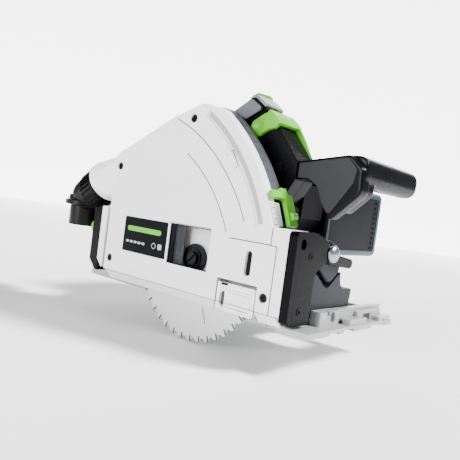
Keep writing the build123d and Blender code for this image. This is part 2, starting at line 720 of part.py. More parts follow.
BLADE_FACE = BLADE_THICKNESS / 2
SHAFT_RADIUS = 6.0
with BuildPart() as inner_flange:
    with BuildSketch(side(BLADE_FACE)):
        with Locations((ARBOR_X, ARBOR_Z)):
            Circle(16)
    extrude(amount=-4)
    with BuildSketch(side(-BLADE_FACE)):
        with Locations((ARBOR_X, ARBOR_Z)):
            Circle(BLADE_BORE)
    extrude(amount=-BLADE_THICKNESS)
    with BuildSketch(side(-BLADE_FACE)):
        with Locations((ARBOR_X, ARBOR_Z)):
            Circle(SHAFT_RADIUS)
    extrude(amount=-10, mode=Mode.SUBTRACT)
inner_flange.part.label = "inner_flange"
export_step(inner_flange.part, "parts/inner_flange.step")

with BuildPart() as outer_flange:
    with BuildSketch(side(-BLADE_FACE - 3)):
        with Locations((ARBOR_X, ARBOR_Z)):
            Circle(14)
            Circle(3, mode=Mode.SUBTRACT)
    extrude(amount=-3)
    with BuildSketch(side(-BLADE_FACE - 4)):
        with Locations((ARBOR_X, ARBOR_Z)):
            Circle(9)
            Circle(7, mode=Mode.SUBTRACT)
    extrude(amount=-1)
outer_flange.part.label = "outer_flange"
export_step(outer_flange.part, "parts/outer_flange.step")

with BuildPart() as clamp_screw:
    with BuildSketch(side(-BLADE_FACE - 7)):
        with Locations((ARBOR_X, ARBOR_Z)):
            Circle(6)
            Rectangle(16, 1.8, rotation=45, mode=Mode.SUBTRACT)
    extrude(amount=-2)
    with BuildSketch(side(-BLADE_FACE - 5)):
        with Locations((ARBOR_X, ARBOR_Z)):
            Circle(6)
    extrude(amount=-2)
    with BuildSketch(side(-BLADE_FACE - 3)):
        with Locations((ARBOR_X, ARBOR_Z)):
            Circle(3)
    extrude(amount=-18)
clamp_screw.part.label = "clamp_screw"
export_step(clamp_screw.part, "parts/clamp_screw.step")

SHAFT_END = 35.0
with BuildPart() as arbor_shaft:
    with BuildSketch(side(-BLADE_FACE)):
        with Locations((ARBOR_X, ARBOR_Z)):
            Circle(SHAFT_RADIUS)
    extrude(amount=-(SHAFT_END + BLADE_FACE))
    with BuildSketch(side(-BLADE_FACE)):
        with Locations((ARBOR_X, ARBOR_Z)):
            Circle(3)
    extrude(amount=-15, mode=Mode.SUBTRACT)
arbor_shaft.part.label = "arbor_shaft"
export_step(arbor_shaft.part, "parts/arbor_shaft.step")

BACKLASH = 0.35
ARBOR_IDLER = MODULE * (GEAR_TEETH + IDLER_TEETH) / 2 + BACKLASH
IDLER_MOTOR = MODULE * (IDLER_TEETH + PINION_TEETH) / 2 + BACKLASH
ARBOR_MOTOR = hypot(MOTOR_X - ARBOR_X, MOTOR_Z - ARBOR_Z)
MOTOR_DIRECTION = degrees(atan2(MOTOR_Z - ARBOR_Z, MOTOR_X - ARBOR_X))
IDLER_COSINE = (ARBOR_IDLER**2 + ARBOR_MOTOR**2 - IDLER_MOTOR**2) / (2 * ARBOR_IDLER * ARBOR_MOTOR)
IDLER_OFFSET = degrees(acos(IDLER_COSINE))
IDLER_DIRECTION = MOTOR_DIRECTION - IDLER_OFFSET
IDLER_X = ARBOR_X + ARBOR_IDLER * cos(radians(IDLER_DIRECTION))
IDLER_Z = ARBOR_Z + ARBOR_IDLER * sin(radians(IDLER_DIRECTION))
PINION_DIRECTION = degrees(atan2(MOTOR_Z - IDLER_Z, MOTOR_X - IDLER_X))
IDLER_PHASE = IDLER_DIRECTION + 180 + 180 / IDLER_TEETH
MESH_OFFSET = PINION_DIRECTION - IDLER_PHASE
PINION_PHASE = PINION_DIRECTION + 180 + 180 / PINION_TEETH + MESH_OFFSET * IDLER_TEETH / PINION_TEETH
GEAR_FRONT, GEAR_WIDTH = 16.0, 12.0

with BuildPart() as drive_gear:
    with BuildSketch(side(GEAR_FRONT)):
        with Locations((ARBOR_X, ARBOR_Z)):
            gear_profile(GEAR_TEETH, IDLER_DIRECTION, (ARBOR_X, ARBOR_Z))
            Circle(SHAFT_RADIUS, mode=Mode.SUBTRACT)
    extrude(amount=-GEAR_WIDTH)
drive_gear.part.label = "drive_gear"
export_step(drive_gear.part, "parts/drive_gear.step")

IDLER_SHAFT = 4.0
with BuildPart() as idler_gear:
    with BuildSketch(side(GEAR_FRONT)):
        with Locations((IDLER_X, IDLER_Z)):
            gear_profile(IDLER_TEETH, IDLER_PHASE, (IDLER_X, IDLER_Z))
    extrude(amount=-GEAR_WIDTH)
    with BuildSketch(side(11)):
        with Locations((IDLER_X, IDLER_Z)):
            Circle(IDLER_SHAFT)
    extrude(amount=-27.8)
idler_gear.part.label = "idler_gear"
export_step(idler_gear.part, "parts/idler_gear.step")

ROTOR_SHAFT = 4.5
with BuildPart() as motor_pinion:
    with BuildSketch(side(GEAR_FRONT)):
        with Locations((MOTOR_X, MOTOR_Z)):
            gear_profile(PINION_TEETH, PINION_PHASE, (MOTOR_X, MOTOR_Z))
            Circle(ROTOR_SHAFT, mode=Mode.SUBTRACT)
    extrude(amount=-GEAR_WIDTH)
motor_pinion.part.label = "motor_pinion"
export_step(motor_pinion.part, "parts/motor_pinion.step")

with BuildPart() as rotor_shaft:
    with BuildSketch(side(GEAR_FRONT - 0.5)):
        with Locations((MOTOR_X, MOTOR_Z)):
            Circle(ROTOR_SHAFT)
    extrude(amount=-(139 - GEAR_FRONT))
rotor_shaft.part.label = "rotor_shaft"
export_step(rotor_shaft.part, "parts/rotor_shaft.step")

with BuildPart() as rotor_core:
    with BuildSketch(side(62)):
        with Locations((MOTOR_X, MOTOR_Z)):
            Circle(19)
            Circle(ROTOR_SHAFT, mode=Mode.SUBTRACT)
            with PolarLocations(16.5, 8):
                Rectangle(3, 8, mode=Mode.SUBTRACT)
    extrude(amount=-56)
rotor_core.part.label = "rotor_core"
export_step(rotor_core.part, "parts/rotor_core.step")

with BuildPart() as cooling_fan:
    with BuildSketch(side(46)):
        with Locations((MOTOR_X, MOTOR_Z)):
            Circle(31)
            Circle(ROTOR_SHAFT, mode=Mode.SUBTRACT)
    extrude(amount=-2)
    with BuildSketch(side(48)):
        with Locations((MOTOR_X, MOTOR_Z)):
            with PolarLocations(21, 11):
                Rectangle(18, 1.6)
    extrude(amount=-7)
cooling_fan.part.label = "cooling_fan"
export_step(cooling_fan.part, "parts/cooling_fan.step")

with BuildPart() as stator:
    with BuildSketch(side(60)):
        with Locations((MOTOR_X, MOTOR_Z)):
            Circle(34)
            Circle(20, mode=Mode.SUBTRACT)
            with PolarLocations(25, 12):
                Rectangle(7, 4, mode=Mode.SUBTRACT)
    extrude(amount=-60)
stator.part.label = "stator"
export_step(stator.part, "parts/stator.step")

# ================================================================ plunging saw unit
BEARING_RUN = 0.05
with BuildPart() as gear_housing:
    with BuildSketch(side(GEARBOX_FRONT)):
        with Locations((ARBOR_X, ARBOR_Z)):
            Circle(21)
        with Locations((MOTOR_X, MOTOR_Z)):
            Circle(MOTOR_RADIUS)
        with Locations((PIVOT_X, PIVOT_Z)):
            Circle(13)
        make_hull()
        with Locations((10.5, 101)):
            Rectangle(25, 32)
    extrude(amount=-(GEARBOX_REAR - GEARBOX_FRONT))
    with BuildSketch(side(5.8)):
        with Locations((ARBOR_X, ARBOR_Z)):
            Circle(ARBOR_BOSS)
    extrude(amount=-5)
    with BuildSketch(side(GEARBOX_FRONT + 4)):
        with Locations((ARBOR_X, ARBOR_Z)):
            Circle(18.4)
        with Locations((IDLER_X, IDLER_Z)):
            Circle(18.4)
        with Locations((MOTOR_X, MOTOR_Z)):
            Circle(17)
        make_hull()
    extrude(amount=-30, mode=Mode.SUBTRACT)
    with BuildSketch(side(7)):
        with Locations((ARBOR_X, ARBOR_Z)):
            Circle(14)
    extrude(amount=-8, mode=Mode.SUBTRACT)
    with BuildSketch(side(5)):
        with Locations((ARBOR_X, ARBOR_Z)):
            Circle(SHAFT_RADIUS + 1)
    extrude(amount=-8, mode=Mode.SUBTRACT)
    with BuildSketch(side(10.8)):
        with Locations((IDLER_X, IDLER_Z)):
            Circle(IDLER_SHAFT + BEARING_RUN)
    extrude(amount=-8, mode=Mode.SUBTRACT)
    with BuildSketch(side(GEARBOX_FRONT - 1)):
        with Locations((PIVOT_X, PIVOT_Z)):
            Circle(PIVOT_PIN_RADIUS + BEARING_RUN)
    extrude(amount=-30, mode=Mode.SUBTRACT)
gear_housing.part.label = "gear_housing"
export_step(gear_housing.part, "parts/gear_housing.step")

COVER_PLATE_Y = GEARBOX_REAR + 0.1
with BuildPart() as gear_cover:
    with BuildSketch(side(COVER_PLATE_Y)):
        with Locations((ARBOR_X, ARBOR_Z)):
            Circle(20.5)
        with Locations((MOTOR_X, MOTOR_Z)):
            Circle(MOTOR_RADIUS - 0.5)
        make_hull()
    extrude(amount=-4)
    with BuildSketch(side(29.6)):
        with Locations((ARBOR_X, ARBOR_Z)):
            Circle(16)
    extrude(amount=-7)
    with BuildSketch(side(29.6)):
        with Locations((MOTOR_X, MOTOR_Z)):
            Circle(14.5)
    extrude(amount=-7)
    with BuildSketch(side(29)):
        with Locations((ARBOR_X, ARBOR_Z)):
            Circle(13)
        with Locations((MOTOR_X, MOTOR_Z)):
            Circle(11)
    extrude(amount=-7, mode=Mode.SUBTRACT)
    with BuildSketch(side(29)):
        with Locations((MOTOR_X, MOTOR_Z)):
            Circle(ROTOR_SHAFT + 1)
    extrude(amount=-14, mode=Mode.SUBTRACT)
    with BuildSketch(side(36)):
        with Locations((IDLER_X, IDLER_Z)):
            Circle(IDLER_SHAFT + BEARING_RUN)
    extrude(amount=-3.2, mode=Mode.SUBTRACT)
gear_cover.part.label = "gear_cover"
export_step(gear_cover.part, "parts/gear_cover.step")

REAR_BEARING_Y = 133.0
with BuildPart() as bearings:
    for x, z, start, width, bore, outer in (
        (ARBOR_X, ARBOR_Z, 7.0, 6.5, SHAFT_RADIUS, 14.0),
        (ARBOR_X, ARBOR_Z, 29.6, 5.8, SHAFT_RADIUS, 13.0),
        (MOTOR_X, MOTOR_Z, 29.6, 5.8, ROTOR_SHAFT, 11.0),
        (MOTOR_X, MOTOR_Z, REAR_BEARING_Y, 7.0, ROTOR_SHAFT, 11.0),
    ):
        with BuildSketch(side(start)):
            with Locations((x, z)):
                Circle(outer)
                Circle(bore + BEARING_RUN, mode=Mode.SUBTRACT)
        extrude(amount=-width)
bearings.part.label = "bearings"
export_step(bearings.part, "parts/bearings.step")

END_WALL_Y = MOTOR_REAR - 4
with BuildPart() as motor_housing:
    with BuildSketch(side(MOTOR_FRONT)):
        with Locations((MOTOR_X, MOTOR_Z)):
            Circle(MOTOR_RADIUS)
        with Locations((1, 100)):
            Rectangle(16, 30)
        with Locations((-67, 84)):
            Rectangle(14, 40)
    extrude(amount=-(MOTOR_REAR - MOTOR_FRONT))
    fillet(motor_housing.faces().sort_by(Axis.Y)[-1].edges(), radius=1.5)
    with BuildSketch(side(MOTOR_FRONT - 1)):
        with Locations((MOTOR_X, MOTOR_Z)):
            Circle(MOTOR_RADIUS - WALL)
    extrude(amount=-(END_WALL_Y - MOTOR_FRONT + 1), mode=Mode.SUBTRACT)
    with BuildSketch(side(REAR_BEARING_Y)):
        with Locations((MOTOR_X, MOTOR_Z)):
            Circle(14)
            Circle(11, mode=Mode.SUBTRACT)
    extrude(amount=-(END_WALL_Y - REAR_BEARING_Y + 1))
    with BuildSketch(side(END_WALL_Y - 1)):
        with Locations((MOTOR_X, MOTOR_Z)):
            with PolarLocations(24, 18):
                SlotOverall(13, 3)
    extrude(amount=-8, mode=Mode.SUBTRACT)
    with BuildSketch(side(END_WALL_Y - 1)):
        with Locations((MOTOR_X, MOTOR_Z)):
            with PolarLocations(24, 1, start_angle=-90):
                Circle(6.5)
    extrude(amount=-8)
    with BuildSketch(side(END_WALL_Y)):
        with Locations((MOTOR_X, MOTOR_Z - 24)):
            Circle(2.05)
    extrude(amount=-8, mode=Mode.SUBTRACT)
motor_housing.part.label = "motor_housing"
export_step(motor_housing.part, "parts/motor_housing.step")

with BuildPart() as speed_dial:
    with BuildSketch(side(153.4)):
        with Locations((MOTOR_X, MOTOR_Z - 24)):
            Circle(9)
            with PolarLocations(9, 18):
                Circle(0.8, mode=Mode.SUBTRACT)
    extrude(amount=-4)
    with BuildSketch(side(147)):
        with Locations((MOTOR_X, MOTOR_Z - 24)):
            Circle(2)
    extrude(amount=-7)
speed_dial.part.label = "speed_dial"
export_step(speed_dial.part, "parts/speed_dial.step")

HANDLE_OUTLINE = [
    (27, 204),
    (42, 193),
    (59, 177),
    (78, 154),
    (84.5, 146),
    (84.5, 129),
    (71, 106),
    (69, 94),
    (58, 80),
    (24, 80),
    (24, 120.5),
    (-74, 120.5),
    (-80, 136),
    (-70, 153),
    (3, 191),
]
GRIP_OPENING = [(-52, 131), (-44, 137), (2, 161), (14, 160), (22, 148), (26, 131)]
TRIGGER = [(-4, 158), (9, 166), (16, 151), (12, 144), (4, 146)]
TRIGGER_POCKET = [(-7, 155), (-13, 165), (8, 175), (19, 153), (15, 140), (2, 142)]

with BuildPart() as handle_right:
    with BuildSketch(side(HANDLE_RIGHT_Y)):
        outline_face(HANDLE_OUTLINE)
        outline_face(GRIP_OPENING, mode=Mode.SUBTRACT)
    extrude(amount=-(HANDLE_SPLIT_Y - HANDLE_RIGHT_Y))
    fillet(handle_right.faces().sort_by(Axis.Y)[0].edges(), radius=4)
    with BuildSketch(side(30)):
        outline_face(TRIGGER_POCKET)
    extrude(amount=-10, mode=Mode.SUBTRACT)
handle_right.part.label = "handle_right"
export_step(handle_right.part, "parts/handle_right.step")

with BuildPart() as handle_left:
    with BuildSketch(side(HANDLE_SPLIT_Y + 0.1)):
        outline_face(HANDLE_OUTLINE)
        outline_face(GRIP_OPENING, mode=Mode.SUBTRACT)
    extrude(amount=-(HANDLE_LEFT_Y - HANDLE_SPLIT_Y - 0.1))
    fillet(handle_left.faces().sort_by(Axis.Y)[-1].edges(), radius=4)
    with BuildSketch(side(36)):
        outline_face(TRIGGER_POCKET)
    extrude(amount=-8, mode=Mode.SUBTRACT)
handle_left.part.label = "handle_left"
export_step(handle_left.part, "parts/handle_left.step")

with BuildPart() as trigger:
    with BuildSketch(side(31)):
        outline_face(TRIGGER)
    extrude(amount=-12)
    fillet(trigger.edges().filter_by(Axis.Y).group_by(Axis.Z)[0], radius=1.5)
trigger.part.label = "trigger"
export_step(trigger.part, "parts/trigger.step")

with BuildPart() as handle_cap:
    with BuildSketch(side(HANDLE_RIGHT_Y - 2.2)):
        outline_face([(3, 190), (26, 203), (41, 192.5), (19, 181)])
    extrude(amount=-2.1)
    with BuildSketch(side(HANDLE_RIGHT_Y - 2.2)):
        outline_face([(25.5, 205.4), (27, 204.1), (40.1, 194.6), (42, 197), (28, 207.5)])
    extrude(amount=-(HANDLE_LEFT_Y - HANDLE_RIGHT_Y + 2.2))
    with BuildSketch(side(HANDLE_RIGHT_Y - 2.2)):
        outline_face([(20, 199.8), (25.5, 205.4), (28, 207.5), (42, 197), (40, 192), (26, 203)])
    extrude(amount=-2.1)
handle_cap.part.label = "handle_cap"
export_step(handle_cap.part, "parts/handle_cap.step")

with BuildPart() as lock_lever:
    with BuildSketch(side(HANDLE_RIGHT_Y - 4.8)):
        outline_face([(30, 177), (44, 187), (51, 189), (62.2, 178.4), (58, 174), (42, 167)])
    extrude(amount=-4.4)
    with BuildSketch(side(HANDLE_RIGHT_Y - 4.8)):
        outline_face([(48, 188.4), (50.4, 190.9), (63, 179), (60.2, 176.9)])
    extrude(amount=-(HANDLE_LEFT_Y - HANDLE_RIGHT_Y + 8.6))
    with BuildSketch(side(HANDLE_LEFT_Y + 0.4)):
        outline_face([(30, 177), (44, 187), (51, 189), (62.2, 178.4), (58, 174), (42, 167)])
    extrude(amount=-3.4)
lock_lever.part.label = "lock_lever"
export_step(lock_lever.part, "parts/lock_lever.step")

with BuildPart() as change_lever:
    with BuildSketch(side(HANDLE_LEFT_Y + 0.5)):
        outline_face([(-3, 184), (-4, 213), (3, 217), (17, 210), (19, 192), (8, 182)])
    extrude(amount=-5)
    fillet(change_lever.edges().filter_by(Axis.Y), radius=2)
change_lever.part.label = "change_lever"
export_step(change_lever.part, "parts/change_lever.step")

AUX_ARM = [(85, 146), (135, 153.5), (148, 142), (149, 122), (122.5, 96.5), (106, 128), (96, 131), (85, 129.5)]
AUX_FOOT = [(112, 150), (134, 152.5), (147, 142), (148, 122.5), (127.5, 102.5), (113, 131)]
AUX_BAR = (137.5, 141.0)
AUX_END_Y = 140.0
AUX_THICKNESS = 13.0
with BuildPart() as aux_handle:
    with BuildSketch(side(HANDLE_RIGHT_Y)):
        outline_face(AUX_ARM)
    extrude(amount=-AUX_THICKNESS)
    fillet(aux_handle.faces().sort_by(Axis.Y)[0].edges(), radius=2.5)
    with BuildSketch(side(HANDLE_RIGHT_Y + AUX_THICKNESS - 2)):
        outline_face(AUX_FOOT)
    extrude(amount=-15)
    with BuildSketch(side(HANDLE_RIGHT_Y + 6)):
        with Locations(AUX_BAR):
            RectangleRounded(24, 26, 9)
    extrude(amount=-(AUX_END_Y - HANDLE_RIGHT_Y - 6))
    fillet(aux_handle.faces().sort_by(Axis.Y)[-1].edges(), radius=8)
aux_handle.part.label = "aux_handle"
export_step(aux_handle.part, "parts/aux_handle.step")

with BuildPart() as housing_screws:
    for x, z in ((66.0, 140.0), (-60.0, 145.0), (40.0, 100.0)):
        with BuildSketch(side(HANDLE_RIGHT_Y - 1.6)):
            with Locations((x, z)):
                Circle(3.4)
                RegularPolygon(1.6, 6, mode=Mode.SUBTRACT)
        extrude(amount=-1.6)
housing_screws.part.label = "housing_screws"
export_step(housing_screws.part, "parts/housing_screws.step")

MOUNT_START, MOUNT_LENGTH = 92.0, 92.0
RAIL_OFFSETS = (BATTERY_HEIGHT / 2 - 17, -BATTERY_HEIGHT / 2 + 17)
BATTERY_MID_Z = BATTERY_BOTTOM + BATTERY_HEIGHT / 2
batteries = {}
mounts = {}
buttons = {}
for place, mount_x, direction in (("front", 9.2, 1), ("rear", -74.2, -1)):
    with BuildPart() as mount:
        with BuildSketch(side(MOUNT_START)):
            with Locations((mount_x + direction * 2, BATTERY_MID_Z)):
                Rectangle(4, BATTERY_HEIGHT - 12)
            for offset in RAIL_OFFSETS:
                with Locations((mount_x + direction * 5.5, BATTERY_MID_Z + offset)):
                    Rectangle(5, 5)
        extrude(amount=-MOUNT_LENGTH)
        with BuildSketch(side(MOUNT_START - 2)):
            with Locations((mount_x + direction * 6, BATTERY_MID_Z)):
                Rectangle(12, BATTERY_HEIGHT - 12)
        extrude(amount=-2)
    mounts[place] = mount.part
    mounts[place].label = f"{place}_battery_mount"
    export_step(mounts[place], f"parts/{place}_battery_mount.step")

    inner_x = mount_x + direction * 4.6
    with BuildPart() as battery:
        with BuildSketch(side(BATTERY_START_Y)):
            with Locations((inner_x + direction * BATTERY_DEPTH / 2, BATTERY_MID_Z)):
                RectangleRounded(BATTERY_DEPTH, BATTERY_HEIGHT, 7)
        extrude(amount=-BATTERY_LENGTH)
        fillet(battery.faces().sort_by(Axis.Y)[-1].edges(), radius=4)
        with BuildSketch(side(BATTERY_START_Y - 1)):
            for offset in RAIL_OFFSETS:
                with Locations((inner_x + direction * 2, BATTERY_MID_Z + offset)):
                    Rectangle(6, 6)
        extrude(amount=-(MOUNT_LENGTH + 2), mode=Mode.SUBTRACT)
        with BuildSketch(front(inner_x + direction * (BATTERY_DEPTH - 1.5))):
            with Locations((BATTERY_START_Y + 50, BATTERY_MID_Z)):
                Rectangle(84, BATTERY_HEIGHT - 16)
        extrude(amount=direction * 3, mode=Mode.SUBTRACT)
        with BuildSketch(front(inner_x + direction * (BATTERY_DEPTH - 3))):
            with Locations((BATTERY_START_Y + 104, BATTERY_MID_Z)):
                with GridLocations(0, 5.2, 1, 10):
                    Rectangle(9, 2.4)
        extrude(amount=direction * 5, mode=Mode.SUBTRACT)
        with BuildSketch(side(BATTERY_START_Y + BATTERY_LENGTH - 7)):
            with Locations((inner_x + direction * (BATTERY_DEPTH - 16), BATTERY_MID_Z)):
                Rectangle(15, 31)
        extrude(amount=-10, mode=Mode.SUBTRACT)
    batteries[place] = battery.part
    batteries[place].label = f"{place}_battery"
    export_step(batteries[place], f"parts/{place}_battery.step")

    with BuildPart() as button:
        with BuildSketch(side(BATTERY_START_Y + BATTERY_LENGTH - 3.6)):
            with Locations((inner_x + direction * (BATTERY_DEPTH - 16), BATTERY_MID_Z)):
                RectangleRounded(14, 30, 3)
        extrude(amount=-5)
    buttons[place] = button.part
    buttons[place].label = f"{place}_battery_button"
    export_step(buttons[place], f"parts/{place}_battery_button.step")

with BuildPart() as circuit_board:
    with BuildSketch(side(54)):
        with Locations((40, 106)):
            Rectangle(46, 34)
    extrude(amount=-2)
    with BuildSketch(side(56)):
        with Locations((28, 104), (50, 112)):
            Rectangle(14, 12)
    extrude(amount=-6)
circuit_board.part.label = "circuit_board"
export_step(circuit_board.part, "parts/circuit_board.step")

with BuildPart() as electronics_case:
    with BuildSketch(side(HANDLE_LEFT_Y + 0.2)):
        outline_face([(9.2, 80), (62, 80), (76, 96), (78, 128), (9.2, 128)])
    extrude(amount=-(89.8 - HANDLE_LEFT_Y - 0.2))
    with BuildSketch(side(HANDLE_LEFT_Y - 1)):
        outline_face([(12.2, 83), (60, 83), (73, 97), (75, 125), (12.2, 125)])
    extrude(amount=-(86.8 - HANDLE_LEFT_Y + 1), mode=Mode.SUBTRACT)
electronics_case.part.label = "electronics_case"
export_step(electronics_case.part, "parts/electronics_case.step")
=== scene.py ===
"""Looks of a cordless track plunge saw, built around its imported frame.

+X is the cutting direction, +Y points to the motor side and +Z is up.  Sizes are written in
millimetres and turned to metres where a mesh is made.  Each sub-assembly is a class with its sizes
as fields; each finish is a frozen dataclass.
"""

import json
import logging
import math
from dataclasses import dataclass, field
from enum import Enum
from typing import Callable, Iterable, Sequence

import bpy
from mathutils import Matrix, Vector

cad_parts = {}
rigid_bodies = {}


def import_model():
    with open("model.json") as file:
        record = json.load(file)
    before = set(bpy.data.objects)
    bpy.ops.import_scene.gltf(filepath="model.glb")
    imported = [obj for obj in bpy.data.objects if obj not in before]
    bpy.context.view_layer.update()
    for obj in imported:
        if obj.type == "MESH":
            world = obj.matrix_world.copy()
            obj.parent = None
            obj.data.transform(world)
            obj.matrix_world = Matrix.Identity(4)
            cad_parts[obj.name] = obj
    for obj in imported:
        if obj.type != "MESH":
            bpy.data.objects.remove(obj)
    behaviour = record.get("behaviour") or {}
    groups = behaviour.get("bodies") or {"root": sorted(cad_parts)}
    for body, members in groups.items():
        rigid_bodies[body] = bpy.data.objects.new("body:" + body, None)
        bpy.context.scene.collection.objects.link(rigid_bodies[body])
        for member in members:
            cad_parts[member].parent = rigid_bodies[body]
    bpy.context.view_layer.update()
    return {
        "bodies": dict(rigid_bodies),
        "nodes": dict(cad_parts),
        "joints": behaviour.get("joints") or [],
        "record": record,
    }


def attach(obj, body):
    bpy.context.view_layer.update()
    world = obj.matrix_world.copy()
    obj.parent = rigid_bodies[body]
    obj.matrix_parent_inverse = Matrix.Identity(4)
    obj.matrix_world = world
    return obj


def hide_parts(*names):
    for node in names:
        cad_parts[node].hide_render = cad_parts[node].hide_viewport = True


LOG = logging.getLogger("plunge_saw")
MM = 0.001
Point = tuple[float, float]
Triple = tuple[float, float, float]

PIVOT: Point = (-98.0, 22.0)
ARBOR: Point = (0.0, 45.0)
FRONT_BOLT: Point = (44.0, 68.5)
FACE_Y = -16.0


class Along(Enum):
    """The axis that an outline is pushed out along."""

    X = "x"
    Y = "y"
    Z = "z"


class Grain(Enum):
    """The fine surface pattern of a finish."""

    SMOOTH = "smooth"
    MOULDED = "moulded"
    LEATHERED = "leathered"
    CAST = "cast"
    BRUSHED = "brushed"


# ------------------------------------------------------------------ finishes


@dataclass(frozen=True)
class Finish:
    """A procedural surface finish.

    Attributes:
        name: Name of the Blender material.
        colour: Linear base colour.
        roughness: Mean roughness.
        metallic: 1.0 for bare metal.
        grain: Which fine pattern the surface carries.
        grain_size: Size of one grain in millimetres.
        depth: Strength of the grain's bump.
        mottle: How much the colour drifts over the piece, as a share.
        shine: Strength of the reflection, 0.5 for common plastic.
    """

    name: str
    colour: Triple
    roughness: float = 0.45
    metallic: float = 0.0
    grain: Grain = Grain.MOULDED
    grain_size: float = 0.6
    depth: float = 0.12
    mottle: float = 0.06
    shine: float = 0.5

    def material(self) -> bpy.types.Material:
        """Return the material, made the first time it is asked for."""
        label = f"{self.name}_finish"
        known = bpy.data.materials.get(label)
        if known is not None:
            return known
        made = bpy.data.materials.new(label)
        made.use_nodes = True
        nodes, links = made.node_tree.nodes, made.node_tree.links
        shader = nodes["Principled BSDF"]
        shader.inputs["Metallic"].default_value = self.metallic
        shader.inputs["Specular IOR Level"].default_value = self.shine
        place = nodes.new("ShaderNodeTexCoord")
        mapping = nodes.new("ShaderNodeMapping")
        links.new(place.outputs["Object"], mapping.inputs["Vector"])
        if self.grain is Grain.BRUSHED:
            mapping.inputs["Scale"].default_value = (1.0, 1.0, 14.0)

        drift = nodes.new("ShaderNodeTexNoise")
        drift.inputs["Scale"].default_value = 22.0
        drift.inputs["Detail"].default_value = 5.0
        links.new(place.outputs["Object"], drift.inputs["Vector"])
        tint = nodes.new("ShaderNodeValToRGB")
        low, high = 1.0 - self.mottle, 1.0 + self.mottle
        tint.color_ramp.elements[0].position = 0.3
        tint.color_ramp.elements[1].position = 0.7
        tint.color_ramp.elements[0].color = (*[c * low for c in self.colour], 1.0)
        tint.color_ramp.elements[1].color = (*[min(1.0, c * high) for c in self.colour], 1.0)
        links.new(drift.outputs["Fac"], tint.inputs["Fac"])
        links.new(tint.outputs["Color"], shader.inputs["Base Color"])

        fine = self._grain_node(nodes)
        links.new(mapping.outputs["Vector"], fine.inputs["Vector"])
        height = fine.outputs["Distance"] if self.grain is Grain.LEATHERED else fine.outputs["Fac"]
        spread = nodes.new("ShaderNodeMapRange")
        spread.inputs["To Min"].default_value = max(0.03, self.roughness - 0.07)
        spread.inputs["To Max"].default_value = min(1.0, self.roughness + 0.07)
        links.new(drift.outputs["Fac"], spread.inputs["Value"])
        links.new(spread.outputs["Result"], shader.inputs["Roughness"])
        bump = nodes.new("ShaderNodeBump")
        bump.inputs["Strength"].default_value = self.depth
        bump.inputs["Distance"].default_value = 0.0004
        links.new(height, bump.inputs["Height"])
        links.new(bump.outputs["Normal"], shader.inputs["Normal"])
        return made

    def _grain_node(self, nodes: bpy.types.Nodes) -> bpy.types.Node:
        """Return the texture node that carries the grain."""
        scale = 1.0 / (self.grain_size * MM)
        if self.grain is Grain.LEATHERED:
            cells = nodes.new("ShaderNodeTexVoronoi")
            cells.inputs["Scale"].default_value = scale
            return cells
        noise = nodes.new("ShaderNodeTexNoise")
        noise.inputs["Scale"].default_value = scale
        noise.inputs["Detail"].default_value = 3.0 if self.grain is Grain.SMOOTH else 6.0
        noise.inputs["Roughness"].default_value = 0.65 if self.grain is Grain.CAST else 0.5
        return noise


